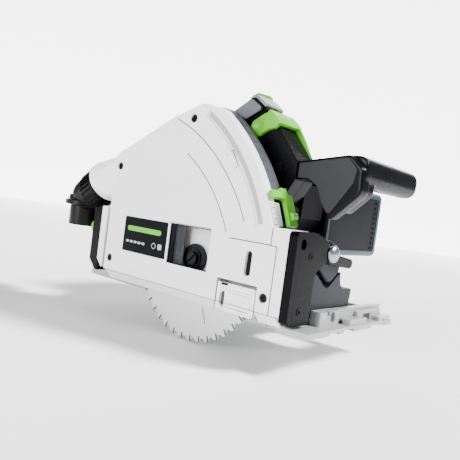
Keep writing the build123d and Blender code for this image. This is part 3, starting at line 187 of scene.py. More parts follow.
@dataclass(frozen=True)
class Palette:
    """Every finish on the saw."""

    cover: Finish = Finish(
        "cover_white", (0.90, 0.902, 0.905), 0.34, grain_size=0.5, depth=0.04, mottle=0.012
    )
    housing: Finish = Finish(
        "housing_grey",
        (0.021, 0.023, 0.029),
        0.48,
        grain=Grain.LEATHERED,
        grain_size=1.6,
        depth=1.0,
        mottle=0.5,
        shine=0.3
    )
    dark: Finish = Finish(
        "dark_satin", (0.0012, 0.0013, 0.002), 0.27, grain_size=0.45, depth=0.05, mottle=0.15, shine=0.1
    )
    bracket: Finish = Finish(
        "dark_cast",
        (0.0006, 0.0007, 0.0013),
        0.27,
        grain=Grain.CAST,
        grain_size=0.9,
        depth=0.06,
        mottle=0.15,
        shine=0.07
    )
    quadrant: Finish = Finish(
        "quadrant_grey",
        (0.0075, 0.0083, 0.012),
        0.38,
        grain=Grain.CAST,
        grain_size=0.8,
        depth=0.12,
        mottle=0.15,
        shine=0.16
    )
    green: Finish = Finish(
        "accent_green", (0.105, 0.42, 0.018), 0.36, grain_size=0.6, depth=0.04, mottle=0.04, shine=0.35
    )
    cast: Finish = Finish(
        "sole_cast",
        (0.36, 0.365, 0.365),
        0.42,
        0.3,
        grain=Grain.CAST,
        grain_size=0.8,
        depth=0.14,
        mottle=0.05
    )
    blade: Finish = Finish(
        "blade_steel",
        (0.62, 0.625, 0.63),
        0.4,
        0.4,
        grain=Grain.BRUSHED,
        grain_size=0.5,
        depth=0.05,
        mottle=0.03
    )
    carbide: Finish = Finish("carbide_grey", (0.05, 0.052, 0.06), 0.32, 0.3, grain=Grain.CAST, depth=0.05)
    steel: Finish = Finish("steel", (0.52, 0.53, 0.55), 0.28, 1.0, grain=Grain.BRUSHED, depth=0.06)
    oxide: Finish = Finish(
        "black_oxide", (0.002, 0.0022, 0.003), 0.34, 0.1, grain=Grain.CAST, depth=0.08, shine=0.15
    )
    silver: Finish = Finish("satin_silver", (0.36, 0.37, 0.41), 0.3, 1.0, grain=Grain.SMOOTH, depth=0.03)
    scale: Finish = Finish("scale_silver", (0.55, 0.56, 0.58), 0.5, 0.3, grain=Grain.BRUSHED, depth=0.05)
    label: Finish = Finish(
        "label", (0.0016, 0.002, 0.0035), 0.4, grain=Grain.SMOOTH, depth=0.02, mottle=0.3, shine=0.06
    )
    label_mark: Finish = Finish("label_mark", (0.36, 0.37, 0.39), 0.45, grain=Grain.SMOOTH, depth=0.02)
    dust: Finish = Finish(
        "dust_black", (0.0012, 0.0012, 0.0016), 0.33, grain=Grain.CAST, grain_size=0.7, depth=0.08, shine=0.14
    )
    battery: Finish = Finish(
        "battery_grey", (0.017, 0.037, 0.050), 0.36, grain_size=0.5, depth=0.05, shine=0.3
    )
    panel: Finish = Finish(
        "battery_panel", (0.0045, 0.005, 0.0065), 0.45, grain_size=0.5, depth=0.1, mottle=0.25, shine=0.1
    )
    cap: Finish = Finish(
        "cap_grey",
        (0.130, 0.140, 0.165),
        0.38,
        0.2,
        grain=Grain.LEATHERED,
        grain_size=0.8,
        depth=0.2,
        mottle=0.12,
        shine=0.35
    )
    bright: Finish = Finish("cap_bright", (0.34, 0.35, 0.40), 0.3, 0.8, grain=Grain.SMOOTH, depth=0.0)
    copper: Finish = Finish("copper", (0.52, 0.23, 0.11), 0.35, 0.8, grain=Grain.BRUSHED, depth=0.3)
    board: Finish = Finish("board", (0.012, 0.14, 0.05), 0.4, grain_size=1.2, depth=0.2)
    # Near-black for tick marks and dark joints, and painted shade laid in recesses, slots and openings.
    recess: Finish = Finish(
        "marks_and_recess_shade_black", (0.003, 0.003, 0.004), 0.6, grain=Grain.CAST, depth=0.1, shine=0.1
    )
    inlay: Finish = Finish(
        "inlay_grey",
        (0.006, 0.0064, 0.0085),
        0.4,
        grain=Grain.LEATHERED,
        grain_size=0.9,
        depth=0.15,
        mottle=0.35,
        shine=0.25
    )
    deep: Finish = Finish(
        "deep_black", (0.002, 0.002, 0.003), 0.5, grain=Grain.CAST, grain_size=0.9, depth=0.12, shine=0.08
    )
    # Grey for a strip in the cover's crease: painted shade.
    crease: Finish = Finish("crease_shade_grey", (0.34, 0.345, 0.355), 0.5, grain_size=0.5, depth=0.04, mottle=0.03)
    # Dark grey for seam lines and marks, and for the painted shadow at the insert's finger recess.
    seam: Finish = Finish("seam_grey", (0.045, 0.047, 0.052), 0.6, grain=Grain.SMOOTH, depth=0.02, shine=0.2)


FINISH = Palette()

# ------------------------------------------------------------------ mesh tools


def deselect() -> None:
    """Leave edit mode and deselect every object."""
    if bpy.context.object is not None and bpy.context.object.mode != "OBJECT":
        bpy.ops.object.mode_set(mode="OBJECT")
    bpy.ops.object.select_all(action="DESELECT")


def activate(piece: bpy.types.Object) -> None:
    """Select one object and make it active."""
    deselect()
    piece.select_set(True)
    bpy.context.view_layer.objects.active = piece


def placed(point: Point, depth: float, along: Along) -> Vector:
    """Return the 3-D place of an outline point, in metres.

    Args:
        point: The outline point, in the two axes that are not pushed along, in X, Y, Z order.
        depth: The place along the pushed axis.
        along: The pushed axis.
    """
    a, b = point
    if along is Along.X:
        return Vector((depth, a, b)) * MM
    if along is Along.Y:
        return Vector((a, depth, b)) * MM
    return Vector((a, b, depth)) * MM


def bezel(points: Sequence[Point], radii: float | Sequence[float], steps: int = 6) -> list[Point]:
    """Return an outline with its corners rounded by arcs.

    Args:
        points: The corners, in order.
        radii: One radius for all corners, or one for each; 0 keeps a corner sharp.
        steps: Points on each arc.
    """
    count = len(points)
    sizes = [radii] * count if isinstance(radii, (int, float)) else list(radii)
    out: list[Point] = []
    for index, corner in enumerate(points):
        here = Vector(corner)
        back = Vector(points[index - 1]) - here
        ahead = Vector(points[(index + 1) % count]) - here
        room = 0.48 * min(back.length, ahead.length)
        back.normalize()
        ahead.normalize()
        half = back.angle(ahead) / 2
        if sizes[index] <= 0 or half > math.radians(89):
            out.append(corner)
            continue
        radius = min(sizes[index], room * math.tan(half))
        reach = radius / math.tan(half)
        centre = here + (back + ahead).normalized() * (radius / math.sin(half))
        start, end = here + back * reach - centre, here + ahead * reach - centre
        swing = start.angle_signed(end)
        for step in range(steps + 1):
            turned = start.copy()
            turned.rotate(Matrix.Rotation(-swing * step / steps, 2))
            out.append(tuple(centre + turned))
    return out


def arc(centre: Point, radius: float, start: float, end: float, steps: int = 24) -> list[Point]:
    """Return points on an arc, angles in degrees from the first axis."""
    angles = [math.radians(start + (end - start) * k / steps) for k in range(steps + 1)]
    return [(centre[0] + radius * math.cos(a), centre[1] + radius * math.sin(a)) for a in angles]


def box_outline(low: Point, high: Point, radius: float = 0.0) -> list[Point]:
    """Return a rectangle's outline, its corners rounded if a radius is given."""
    corners = [low, (high[0], low[1]), high, (low[0], high[1])]
    return bezel(corners, radius, 5) if radius else corners


def prism(
    name: str, outline: Sequence[Point], low: float, high: float, along: Along = Along.Y
) -> bpy.types.Object:
    """Make a closed plate: a filled circle is shaped to the outline, then extruded.

    Args:
        name: The object's name.
        outline: Its outline, in order.
        low: Where it starts along the axis.
        high: Where it ends along the axis.
        along: The axis it is pushed along.

    Returns:
        The new object, at the origin, with its place in its mesh.
    """
    deselect()
    bpy.ops.mesh.primitive_circle_add(vertices=len(outline), radius=0.01, fill_type="NGON")
    made = bpy.context.object
    made.name = name
    made.data.name = name
    for vertex, point in zip(made.data.vertices, outline):
        vertex.co = placed(point, low, along)
    push = placed((0.0, 0.0), high - low, along)
    bpy.ops.object.mode_set(mode="EDIT")
    bpy.ops.mesh.select_all(action="SELECT")
    bpy.ops.mesh.extrude_region_move(TRANSFORM_OT_translate={"value": push})
    bpy.ops.mesh.select_all(action="SELECT")
    bpy.ops.mesh.normals_make_consistent(inside=False)
    bpy.ops.object.mode_set(mode="OBJECT")
    return made


def round_edges(
    piece: bpy.types.Object, width: float, test: Callable[[Vector, Vector], bool], steps: int = 4
) -> None:
    """Bevel in edit mode the edges that a test picks by their two ends, given in millimetres."""
    activate(piece)
    bpy.ops.object.mode_set(mode="EDIT")
    bpy.ops.mesh.select_all(action="DESELECT")
    bpy.ops.object.mode_set(mode="OBJECT")
    vertices = piece.data.vertices
    for edge in piece.data.edges:
        a, b = (vertices[i].co / MM for i in edge.vertices)
        edge.select = bool(test(a, b))
    bpy.ops.object.mode_set(mode="EDIT")
    bpy.ops.mesh.select_mode(type="EDGE")
    bpy.ops.mesh.bevel(offset=width * MM, segments=steps, profile=0.5, clamp_overlap=True)
    bpy.ops.object.mode_set(mode="OBJECT")


def soften(piece: bpy.types.Object, width: float = 0.5, steps: int = 3, angle: float = 35.0) -> None:
    """Round every sharp edge with an applied bevel modifier."""
    activate(piece)
    modifier = piece.modifiers.new("soften", "BEVEL")
    modifier.width = width * MM
    modifier.segments = steps
    modifier.limit_method = "ANGLE"
    modifier.angle_limit = math.radians(angle)
    modifier.harden_normals = False
    bpy.ops.object.modifier_apply(modifier=modifier.name)


def cut(piece: bpy.types.Object, *tools: bpy.types.Object, join: bool = False) -> None:
    """Take the tools out of a piece, or fuse them to it, with applied booleans."""
    for tool in tools:
        activate(piece)
        modifier = piece.modifiers.new("cut", "BOOLEAN")
        modifier.operation = "UNION" if join else "DIFFERENCE"
        modifier.solver = "EXACT"
        modifier.object = tool
        bpy.ops.object.modifier_apply(modifier=modifier.name)
        bpy.data.objects.remove(tool, do_unlink=True)


def shade(piece: bpy.types.Object, angle: float = 38.0) -> None:
    """Shade smooth, apart from edges sharper than the angle."""
    activate(piece)
    bpy.ops.object.shade_smooth_by_angle(angle=math.radians(angle))
    weigh = piece.modifiers.new("weigh", "WEIGHTED_NORMAL")
    weigh.keep_sharp = True
    bpy.ops.object.modifier_apply(modifier=weigh.name)


def sweep_arc(
    name: str, section: Sequence[Point], centre: Point, start: float, end: float, steps: int
) -> bpy.types.Object:
    """Sweep a section along an arc in the side view.

    Args:
        name: The object's name.
        section: (radius, y) points of the section, in order.
        centre: The arc's centre, as (x, z).
        start: Start angle in degrees.
        end: End angle in degrees.
        steps: Steps along the arc.
    """
    deselect()
    bpy.ops.mesh.primitive_circle_add(vertices=len(section), radius=0.01, fill_type="NGON")
    made = bpy.context.object
    made.name = made.data.name = name
    c, s = math.cos(math.radians(start)), math.sin(math.radians(start))
    for vertex, (radius, y) in zip(made.data.vertices, section):
        vertex.co = Vector((centre[0] + radius * c, y, centre[1] + radius * s)) * MM
    bpy.ops.object.mode_set(mode="EDIT")
    bpy.ops.mesh.select_all(action="SELECT")
    swing = math.radians(end - start)
    bpy.ops.mesh.spin(steps=steps, angle=swing, center=Vector((centre[0], 0, centre[1])) * MM, axis=(0, 1, 0))
    bpy.ops.mesh.select_all(action="SELECT")
    bpy.ops.mesh.remove_doubles(threshold=0.000005)
    bpy.ops.mesh.normals_make_consistent(inside=False)
    bpy.ops.object.mode_set(mode="OBJECT")
    return made


def join(name: str, pieces: Sequence[bpy.types.Object]) -> bpy.types.Object:
    """Join several objects into one, which keeps the first one's finish order."""
    deselect()
    for piece in pieces:
        piece.select_set(True)
    bpy.context.view_layer.objects.active = pieces[0]
    bpy.ops.object.join()
    made = bpy.context.object
    made.name = name
    made.data.name = name
    return made


def cylinder(
    name: str, centre: Triple, radius: float, depth: float, along: Along, sides: int = 48
) -> bpy.types.Object:
    """Add a cylinder between two places along an axis, starting at the centre's own place.

    Args:
        name: The object's name.
        centre: Centre of its first end, in millimetres.
        radius: Its radius.
        depth: Its length along the axis, which may be negative.
        along: Its axis.
        sides: How many sides it has.
    """
    flat = {Along.X: (1, 2, 0), Along.Y: (0, 2, 1), Along.Z: (0, 1, 2)}[along]
    middle = (centre[flat[0]], centre[flat[1]])
    start = centre[flat[2]]
    ring = arc(middle, radius, 0, 360 - 360 / sides, sides - 1)
    return prism(name, ring, min(start, start + depth), max(start, start + depth), along)


def lathe(
    name: str, profile: Sequence[Point], origin: Triple, direction: Triple, steps: int = 48
) -> bpy.types.Object:
    """Turn a profile about an axis.

    Args:
        name: The object's name.
        profile: (radius, distance along the axis) points from one end to the other.
        origin: Where the distance is 0, in millimetres.
        direction: The axis.
        steps: Steps in a full turn.
    """
    axis = Vector(direction).normalized()
    across = axis.orthogonal().normalized()
    deselect()
    bpy.ops.mesh.primitive_circle_add(vertices=len(profile), radius=0.01, fill_type="NOTHING")
    made = bpy.context.object
    made.name = name
    made.data.name = name
    base = Vector(origin)
    for vertex, (radius, run) in zip(made.data.vertices, profile):
        vertex.co = (base + axis * run + across * radius) * MM
    bpy.ops.object.mode_set(mode="EDIT")
    bpy.ops.mesh.select_all(action="SELECT")
    bpy.ops.mesh.spin(steps=steps, angle=2 * math.pi, center=base * MM, axis=axis)
    bpy.ops.mesh.select_all(action="SELECT")
    bpy.ops.mesh.remove_doubles(threshold=0.00002)
    bpy.ops.mesh.normals_make_consistent(inside=False)
    bpy.ops.object.mode_set(mode="OBJECT")
    return made


def dress(
    piece: bpy.types.Object, finish: Finish, body: str, replaces: Iterable[str] = (), angle: float = 38.0
) -> bpy.types.Object:
    """Give a piece its finish and its body, hide the CAD nodes it stands for, and report it.

    Args:
        piece: The piece.
        finish: Its finish.
        body: The CAD body it rides on.
        replaces: CAD nodes that it stands for.
        angle: The smoothing angle.

    Returns:
        The same piece.
    """
    shade(piece, angle)
    piece.data.materials.clear()
    piece.data.materials.append(finish.material())
    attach(piece, body)
    for node in replaces:
        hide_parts(node)
    LOG.info("%s rides on %s, %d faces", piece.name, body, len(piece.data.polygons))
    return piece


def around_pivot(radius: float, angle: float) -> Point:
    """Return the point at an angle on a circle about the plunge pivot."""
    return (
        PIVOT[0] + radius * math.cos(math.radians(angle)),
        PIVOT[1] + radius * math.sin(math.radians(angle)),
    )


def ring_outline(
    centre: Point, inner: float, outer: float, start: float, end: float, steps: int = 24
) -> list[Point]:
    """Return a ring sector's outline."""
    return arc(centre, outer, start, end, steps) + arc(centre, inner, end, start, steps)


# ------------------------------------------------------------------ guard cover


@dataclass
class GuardCover:
    """The white cover over the blade, with its window, seams, label and screws."""

    rear: float = -121.5
    front: float = 112.0
    bottom: float = 14.0
    split: float = -6.0
    block_rear: float = 94.2
    block_top: float = 86.0
    block_depth: float = 12.0
    wall: float = 3.0
    rim_radius: float = 202.5
    rim_end: float = 55.0
    roof: tuple[Point, ...] = ((5.3, 189.5), (-38.6, 177.6), (-121.5, 137.7))
    window: tuple[Point, Point] = ((-25.4, 36.6), (28.4, 75.5))
    label: tuple[Point, Point] = ((-94.0, 38.5), (-28.0, 75.0))
    splinter: tuple[Point, Point] = ((43.0, 0.0), (86.5, 34.6))
    screws: tuple[Point, ...] = ((-113.4, 27.3), (94.3, 26.9), (-11.7, 176.0), (-113.0, 126.0))
    rim_round: float = 7.0

    def outline(self, inset: float = 0.0) -> list[Point]:
        """Return the side outline, moved inwards by an inset."""
        radius = self.rim_radius - inset
        top = self.block_top - inset
        start = math.degrees(math.asin((top - PIVOT[1]) / radius))
        peak, front, rear = self.roof
        rim = arc(PIVOT, radius, start, self.rim_end - 1.5, 36)
        ridge = bezel([rim[-1], (peak[0], peak[1] - inset), (front[0], front[1] - inset)], 0)[1]
        top_line = arc((0.5, 172.5 - inset), 17.3, 62, 106, 6)
        floor = self.bottom if inset == 0 else 0.0
        return (
            rim
            + [p for p in top_line if p[1] <= ridge[1] + 0.2]
            + [(front[0], front[1] - inset), (rear[0] + inset, rear[1] - inset)]
            + [(self.rear + inset, floor), (self.front - inset, floor), (self.front - inset, top)]
        )

    def build(self) -> None:
        """Make the cover and everything fixed to its face."""
        self.shell()
        self.seams()
        self.label_marks()
        self.window_edge_shade()
        self.splinter_guard()
        self.screw_heads()
        self.slot_shade_plate()

    def on_rim(self, a: Vector, b: Vector) -> bool:
        """Whether an edge lies on the face's rounded outline, above the front block and the left edge."""
        above = a.z > self.block_top + 0.5 and b.z > self.block_top + 0.5
        return abs(a.y - FACE_Y) < 0.01 and abs(b.y - FACE_Y) < 0.01 and above and a.x > self.rear + 1

    def shell(self) -> None:
        """Make the hollow shell with its rounded rim, window and recesses."""
        body = prism("guard_cover_shell", self.outline(), FACE_Y, self.split)
        round_edges(body, self.rim_round, self.on_rim, 7)
        block = prism(
            "block",
            box_outline((self.block_rear, self.bottom), (self.front, self.block_top)),
            self.split - 3,
            self.block_depth
        )
        cut(body, block, join=True)
        hollow = prism("hollow", self.outline(self.wall), FACE_Y + self.wall, self.block_depth + 5)
        round_edges(
            hollow,
            5.0,
            lambda a, b: abs(a.y - FACE_Y - self.wall) < 0.01 and abs(b.y - a.y) < 0.01 and a.z > 84
                and b.z > 84,
            4,
        )
        skirt_line = [(FACE_Y, 16), (FACE_Y, self.bottom), (-7, 4.8), (-5, 4.8), (-5, 7), (-13, 16)]
        skirt = prism("skirt", skirt_line, self.rear + 3, self.front - 3, Along.X)
        cut(body, hollow)
        cut(body, skirt, join=True)
        low, high = self.window
        splint_low, splint_high = self.splinter
        tools = [
            prism("w", box_outline(low, high, 1.0), FACE_Y - 1, FACE_Y + 5),
            prism("l", box_outline(*self.label, 1.5), FACE_Y - 1, FACE_Y + 1.2),
            prism("s", box_outline((70.8, 41.5), (77.8, 63.5), 3.4), FACE_Y - 1, FACE_Y + 5),
            prism("g", box_outline((splint_low[0], splint_low[1]), splint_high), FACE_Y - 1, FACE_Y + 12),
            prism("p", box_outline((-13, 96), (9, 132)), self.rear - 1, self.rear + 5, Along.X),
        ]
        for x, z in self.screws:
            tools.append(cylinder("r", (x, FACE_Y - 1, z), 4.3, 3.0, Along.Y, 32))
        slope = [
            (FACE_Y - 1, 14.0), (FACE_Y, 14.0), (FACE_Y + 3.4, self.bottom - 0.5),
            (FACE_Y - 1, self.bottom - 0.5),
        ]
        tools.append(prism("skirt_rear", slope, self.rear - 1, 42.4, Along.X))
        tools.append(prism("skirt_front", slope, 87.4, self.front + 1, Along.X))
        crease = [
            (190.5 + 5.2 * math.cos(k * math.pi / 10), FACE_Y - 1.6 + 4.1 * math.sin(k * math.pi / 10))
            for k in range(20)
        ]
        tools.append(sweep_arc("crease", crease, PIVOT, 19.5, 57.0, 60))
        cut(body, *tools)
        soften(body, 0.55, 3, 40)
        dress(body, FINISH.cover, "carriage", ["guard_cover"], 32)
        # A grey strip on the crease's floor is painted shade that the shallow groove does not cast on its
        # own.
        line = prism(
            "crease_shade_strip", ring_outline(PIVOT, 187.9, 192.2, 20.0, 56.6, 60), FACE_Y + 1.8, FACE_Y + 2.9
        )
        dress(line, FINISH.crease, "carriage")

    def seams(self) -> None:
        """Lay the moulded seam lines on the face."""
        width, lift = 0.95, 0.12
        face = FACE_Y - lift
        lines = [
            ring_outline((-100.8, 3.2), 184.7, 184.7 + width, 27.0, 69.0, 40),
            ring_outline((-97.0, 7.7), 157.7, 157.7 + width, 25.5, 58.6, 40),
            box_outline((50.0, 70.7), (95.0, 70.7 + width)),
            box_outline((94.8, 70.7), (94.8 + width, 86.0)),
            box_outline((101.0, 14.4), (101.0 + width, 70.7)),
            box_outline((95.0, 70.4), (101.3, 70.4 + width)),
            box_outline((-26.0, 75.8), (28.8, 76.3)),
        ]
        made = [prism(f"seam_{k}", line, face, FACE_Y + 0.3) for k, line in enumerate(lines)]
        dress(join("cover_seams", made), FINISH.seam, "carriage")
        bracket = [
            prism("mark_a", box_outline((0, 0), (0.6, 17)), face, FACE_Y + 0.3),
            prism("mark_b", box_outline((-4.2, 0), (0.6, 0.6)), face, FACE_Y + 0.3),
            prism("mark_c", box_outline((-2.6, 16.4), (0.6, 17)), face, FACE_Y + 0.3),
            prism("mark_d", box_outline((-7.0, 15.0), (-5.9, 16.1)), face, FACE_Y + 0.3),
        ]
        mark = join("cover_mark", bracket)
        mark.data.transform(
            Matrix.Translation(Vector((49.5, 0, 133.5)) * MM) @ Matrix.Rotation(math.radians(-32), 4, "Y")
        )
        dress(mark, FINISH.seam, "carriage")

    def label_marks(self) -> None:
        """Put plain bars on the label plate in place of any lettering."""
        plate = prism(
            "label_face", box_outline((-93.7, 38.8), (-28.3, 74.7), 1.6), FACE_Y + 0.15, FACE_Y + 1.1
        )
        soften(plate, 0.25, 2)
        dress(plate, FINISH.label, "carriage", ["label_plate"])
        top = FACE_Y + 0.05
        bar = prism("label_bar", box_outline((-88.5, 60.5), (-37.0, 65.5), 2.4), top, FACE_Y + 0.3)
        dress(bar, FINISH.green, "carriage")
        ticks = [
            prism(
                f"tick_{k}",
                box_outline((-89 + 6.2 * k, 48.2), (-84.6 + 6.2 * k, 50.6), 0.8),
                top,
                FACE_Y + 0.3,
            )
            for k in range(5)
        ]
        ticks.append(prism("tick_a", ring_outline((-46, 49.5), 2.4, 3.0, 0, 359, 28), top, FACE_Y + 0.3))
        ticks.append(prism("tick_b", box_outline((-40, 46.8), (-34.4, 52.2), 1.2), top, FACE_Y + 0.3))
        dress(join("label_ticks", ticks), FINISH.label_mark, "carriage")

    def window_edge_shade(self) -> None:
        """Line the window's edge with a thin near-black frame and lay a dark plate over the window's left
        part, both painted shade.
        """
        (x0, z0), (x1, z1) = self.window
        frame = prism(
            "window_edge_shade",
            box_outline((x0 + 0.1, z0 + 0.1), (x1 - 0.1, z1 - 0.1), 1.0),
            FACE_Y + 1.0,
            FACE_Y + 2.9,
        )
        cut(
            frame,
            prism("w", box_outline((x0 + 0.9, z0 + 0.9), (x1 - 0.9, z1 - 0.9), 0.8), FACE_Y, FACE_Y + 4),
        )
        dress(frame, FINISH.recess, "carriage")
        # A dark plate over the window's left part stands for painted shade inside the cover.
        wall = prism(
            "window_shade_plate",
            box_outline((x0 + 0.3, z0 + 0.2), (-10.6, z1 - 0.2)),
            FACE_Y + 7.4,
            FACE_Y + 7.9,
        )
        shoulder = prism(
            "shoulder", box_outline((x0 + 0.2, z0 + 0.2), (x0 + 1.6, z1 - 0.2)), FACE_Y + 2.8, FACE_Y + 7.8
        )
        cut(wall, shoulder, join=True)
        dress(wall, FINISH.housing, "carriage")

    def splinter_guard(self) -> None:
        """Make the adjustable insert with its finger recess."""
        low, high = (43.6, 8.2), (85.9, 31.8)
        plate = prism("splinter_insert", box_outline(low, high, 1.2), FACE_Y + 0.4, FACE_Y + 3.8)
        blade_side = prism("b", box_outline((48, 6.2), (81.5, 28)), FACE_Y + 3.4, FACE_Y + 8.6)
        cut(plate, blade_side, join=True)
        scoop = prism(
            "scoop",
            bezel([(47, 10.5), (81.5, 10.5), (81.5, 24.5), (47, 24.5)], [5, 2, 2, 5]),
            FACE_Y - 1,
            FACE_Y + 3.0,
        )
        cut(plate, scoop, prism("step", box_outline((50, 26.5), (80, 29.5), 1.0), FACE_Y - 1, FACE_Y + 1.6))
        soften(plate, 0.5)
        dress(plate, FINISH.cover, "splinter_slide", ["splinter_guard"])
        ledge = prism(
            "finger_ledge",
            bezel([(54, 11), (81, 11), (81, 24), (58, 24)], [5, 2, 2, 4]),
            FACE_Y + 0.9,
            FACE_Y + 3.2,
        )
        soften(ledge, 0.8, 3)
        dress(ledge, FINISH.cover, "splinter_slide")
        # A dark strip at the scoop's left wall is a painted shadow.
        side = prism(
            "finger_shadow", box_outline((47.6, 11.0), (50.8, 24.0), 1.5), FACE_Y + 2.6, FACE_Y + 3.15
        )
        dress(side, FINISH.seam, "splinter_slide")
        # A near-black bar on the insert paints the shade of its notch.
        notch = prism(
            "insert_notch_shade", box_outline((47.5, 29.6), (55.5, 31.6), 0.6), FACE_Y + 0.35, FACE_Y + 1.2
        )
        dress(notch, FINISH.recess, "splinter_slide")
        frame = [
            prism("f0", box_outline((42.6, 7.0), (43.3, 34.9)), FACE_Y - 0.1, FACE_Y + 0.3),
            prism("f1", box_outline((42.6, 34.3), (87.0, 35.0)), FACE_Y - 0.1, FACE_Y + 0.3),
            prism("f2", box_outline((86.4, 9.0), (87.1, 35.0)), FACE_Y - 0.1, FACE_Y + 0.3),
            prism("f3", box_outline((-121.0, 14.0), (111.5, 14.35)), FACE_Y - 0.06, FACE_Y + 0.3),
        ]
        dress(join("insert_outline", frame), FINISH.seam, "carriage")

    def screw_heads(self) -> None:
        """Make socket-head screws that sit in the cover's recesses."""
        made = []
        for index, (x, z) in enumerate(self.screws):
            head = cylinder(f"cover_screw_{index}", (x, FACE_Y + 0.5, z), 3.7, 1.8, Along.Y, 40)
            socket = cylinder("hex", (x, FACE_Y - 0.5, z), 1.9, 2.2, Along.Y, 6)
            cut(head, socket)
            soften(head, 0.3, 2)
            made.append(head)
        dress(join("cover_screw_set", made), FINISH.oxide, "carriage", ["cover_screws"])

    def slot_shade_plate(self) -> None:
        """Close the gap behind the cover's front slot with a thin dark plate, painted shade for the inside
        seen through it.
        """
        web = prism("slot_shade_plate", box_outline((68.0, 38.5), (80.5, 66.5), 3), FACE_Y + 3.2, FACE_Y + 4.4)
        dress(web, FINISH.recess, "carriage")


# ------------------------------------------------------------------ guard housing band


@dataclass
class GuardBand:
    """The textured inner housing behind the cover."""

    radius: float = 201.6
    low_y: float = -5.7
    high_y: float = 9.0

    def build(self) -> None:
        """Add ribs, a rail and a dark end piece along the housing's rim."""
        ribs = []
        for index in range(9):
            angle = 27.5 + index * 3.0
            inner = [around_pivot(self.radius - 0.4, angle), around_pivot(self.radius - 0.4, angle + 0.28)]
            outer = [around_pivot(self.radius + 0.45, angle + 0.28), around_pivot(self.radius + 0.45, angle)]
            ribs.append(prism(f"rib_{index}", inner + outer, self.low_y + 0.5, self.high_y - 1.5))
        rail = prism(
            "rail",
            ring_outline(PIVOT, self.radius - 0.3, self.radius + 0.55, 24.8, 54.5, 48),
            self.high_y - 1.6,
            self.high_y - 0.1,
        )
        ribs.append(rail)
        end = prism(
            "band_end",
            ring_outline(PIVOT, 197.5, self.radius + 0.7, 19.8, 26.6, 12),
            self.low_y + 0.4,
            self.high_y - 0.2,
        )
        soften(end, 1.0, 2)
        dress(end, FINISH.deep, "carriage")
        made = join("housing_ribs", ribs)
        soften(made, 0.15, 2)
        dress(made, FINISH.housing, "carriage")


# ------------------------------------------------------------------ brackets, knobs and depth stop


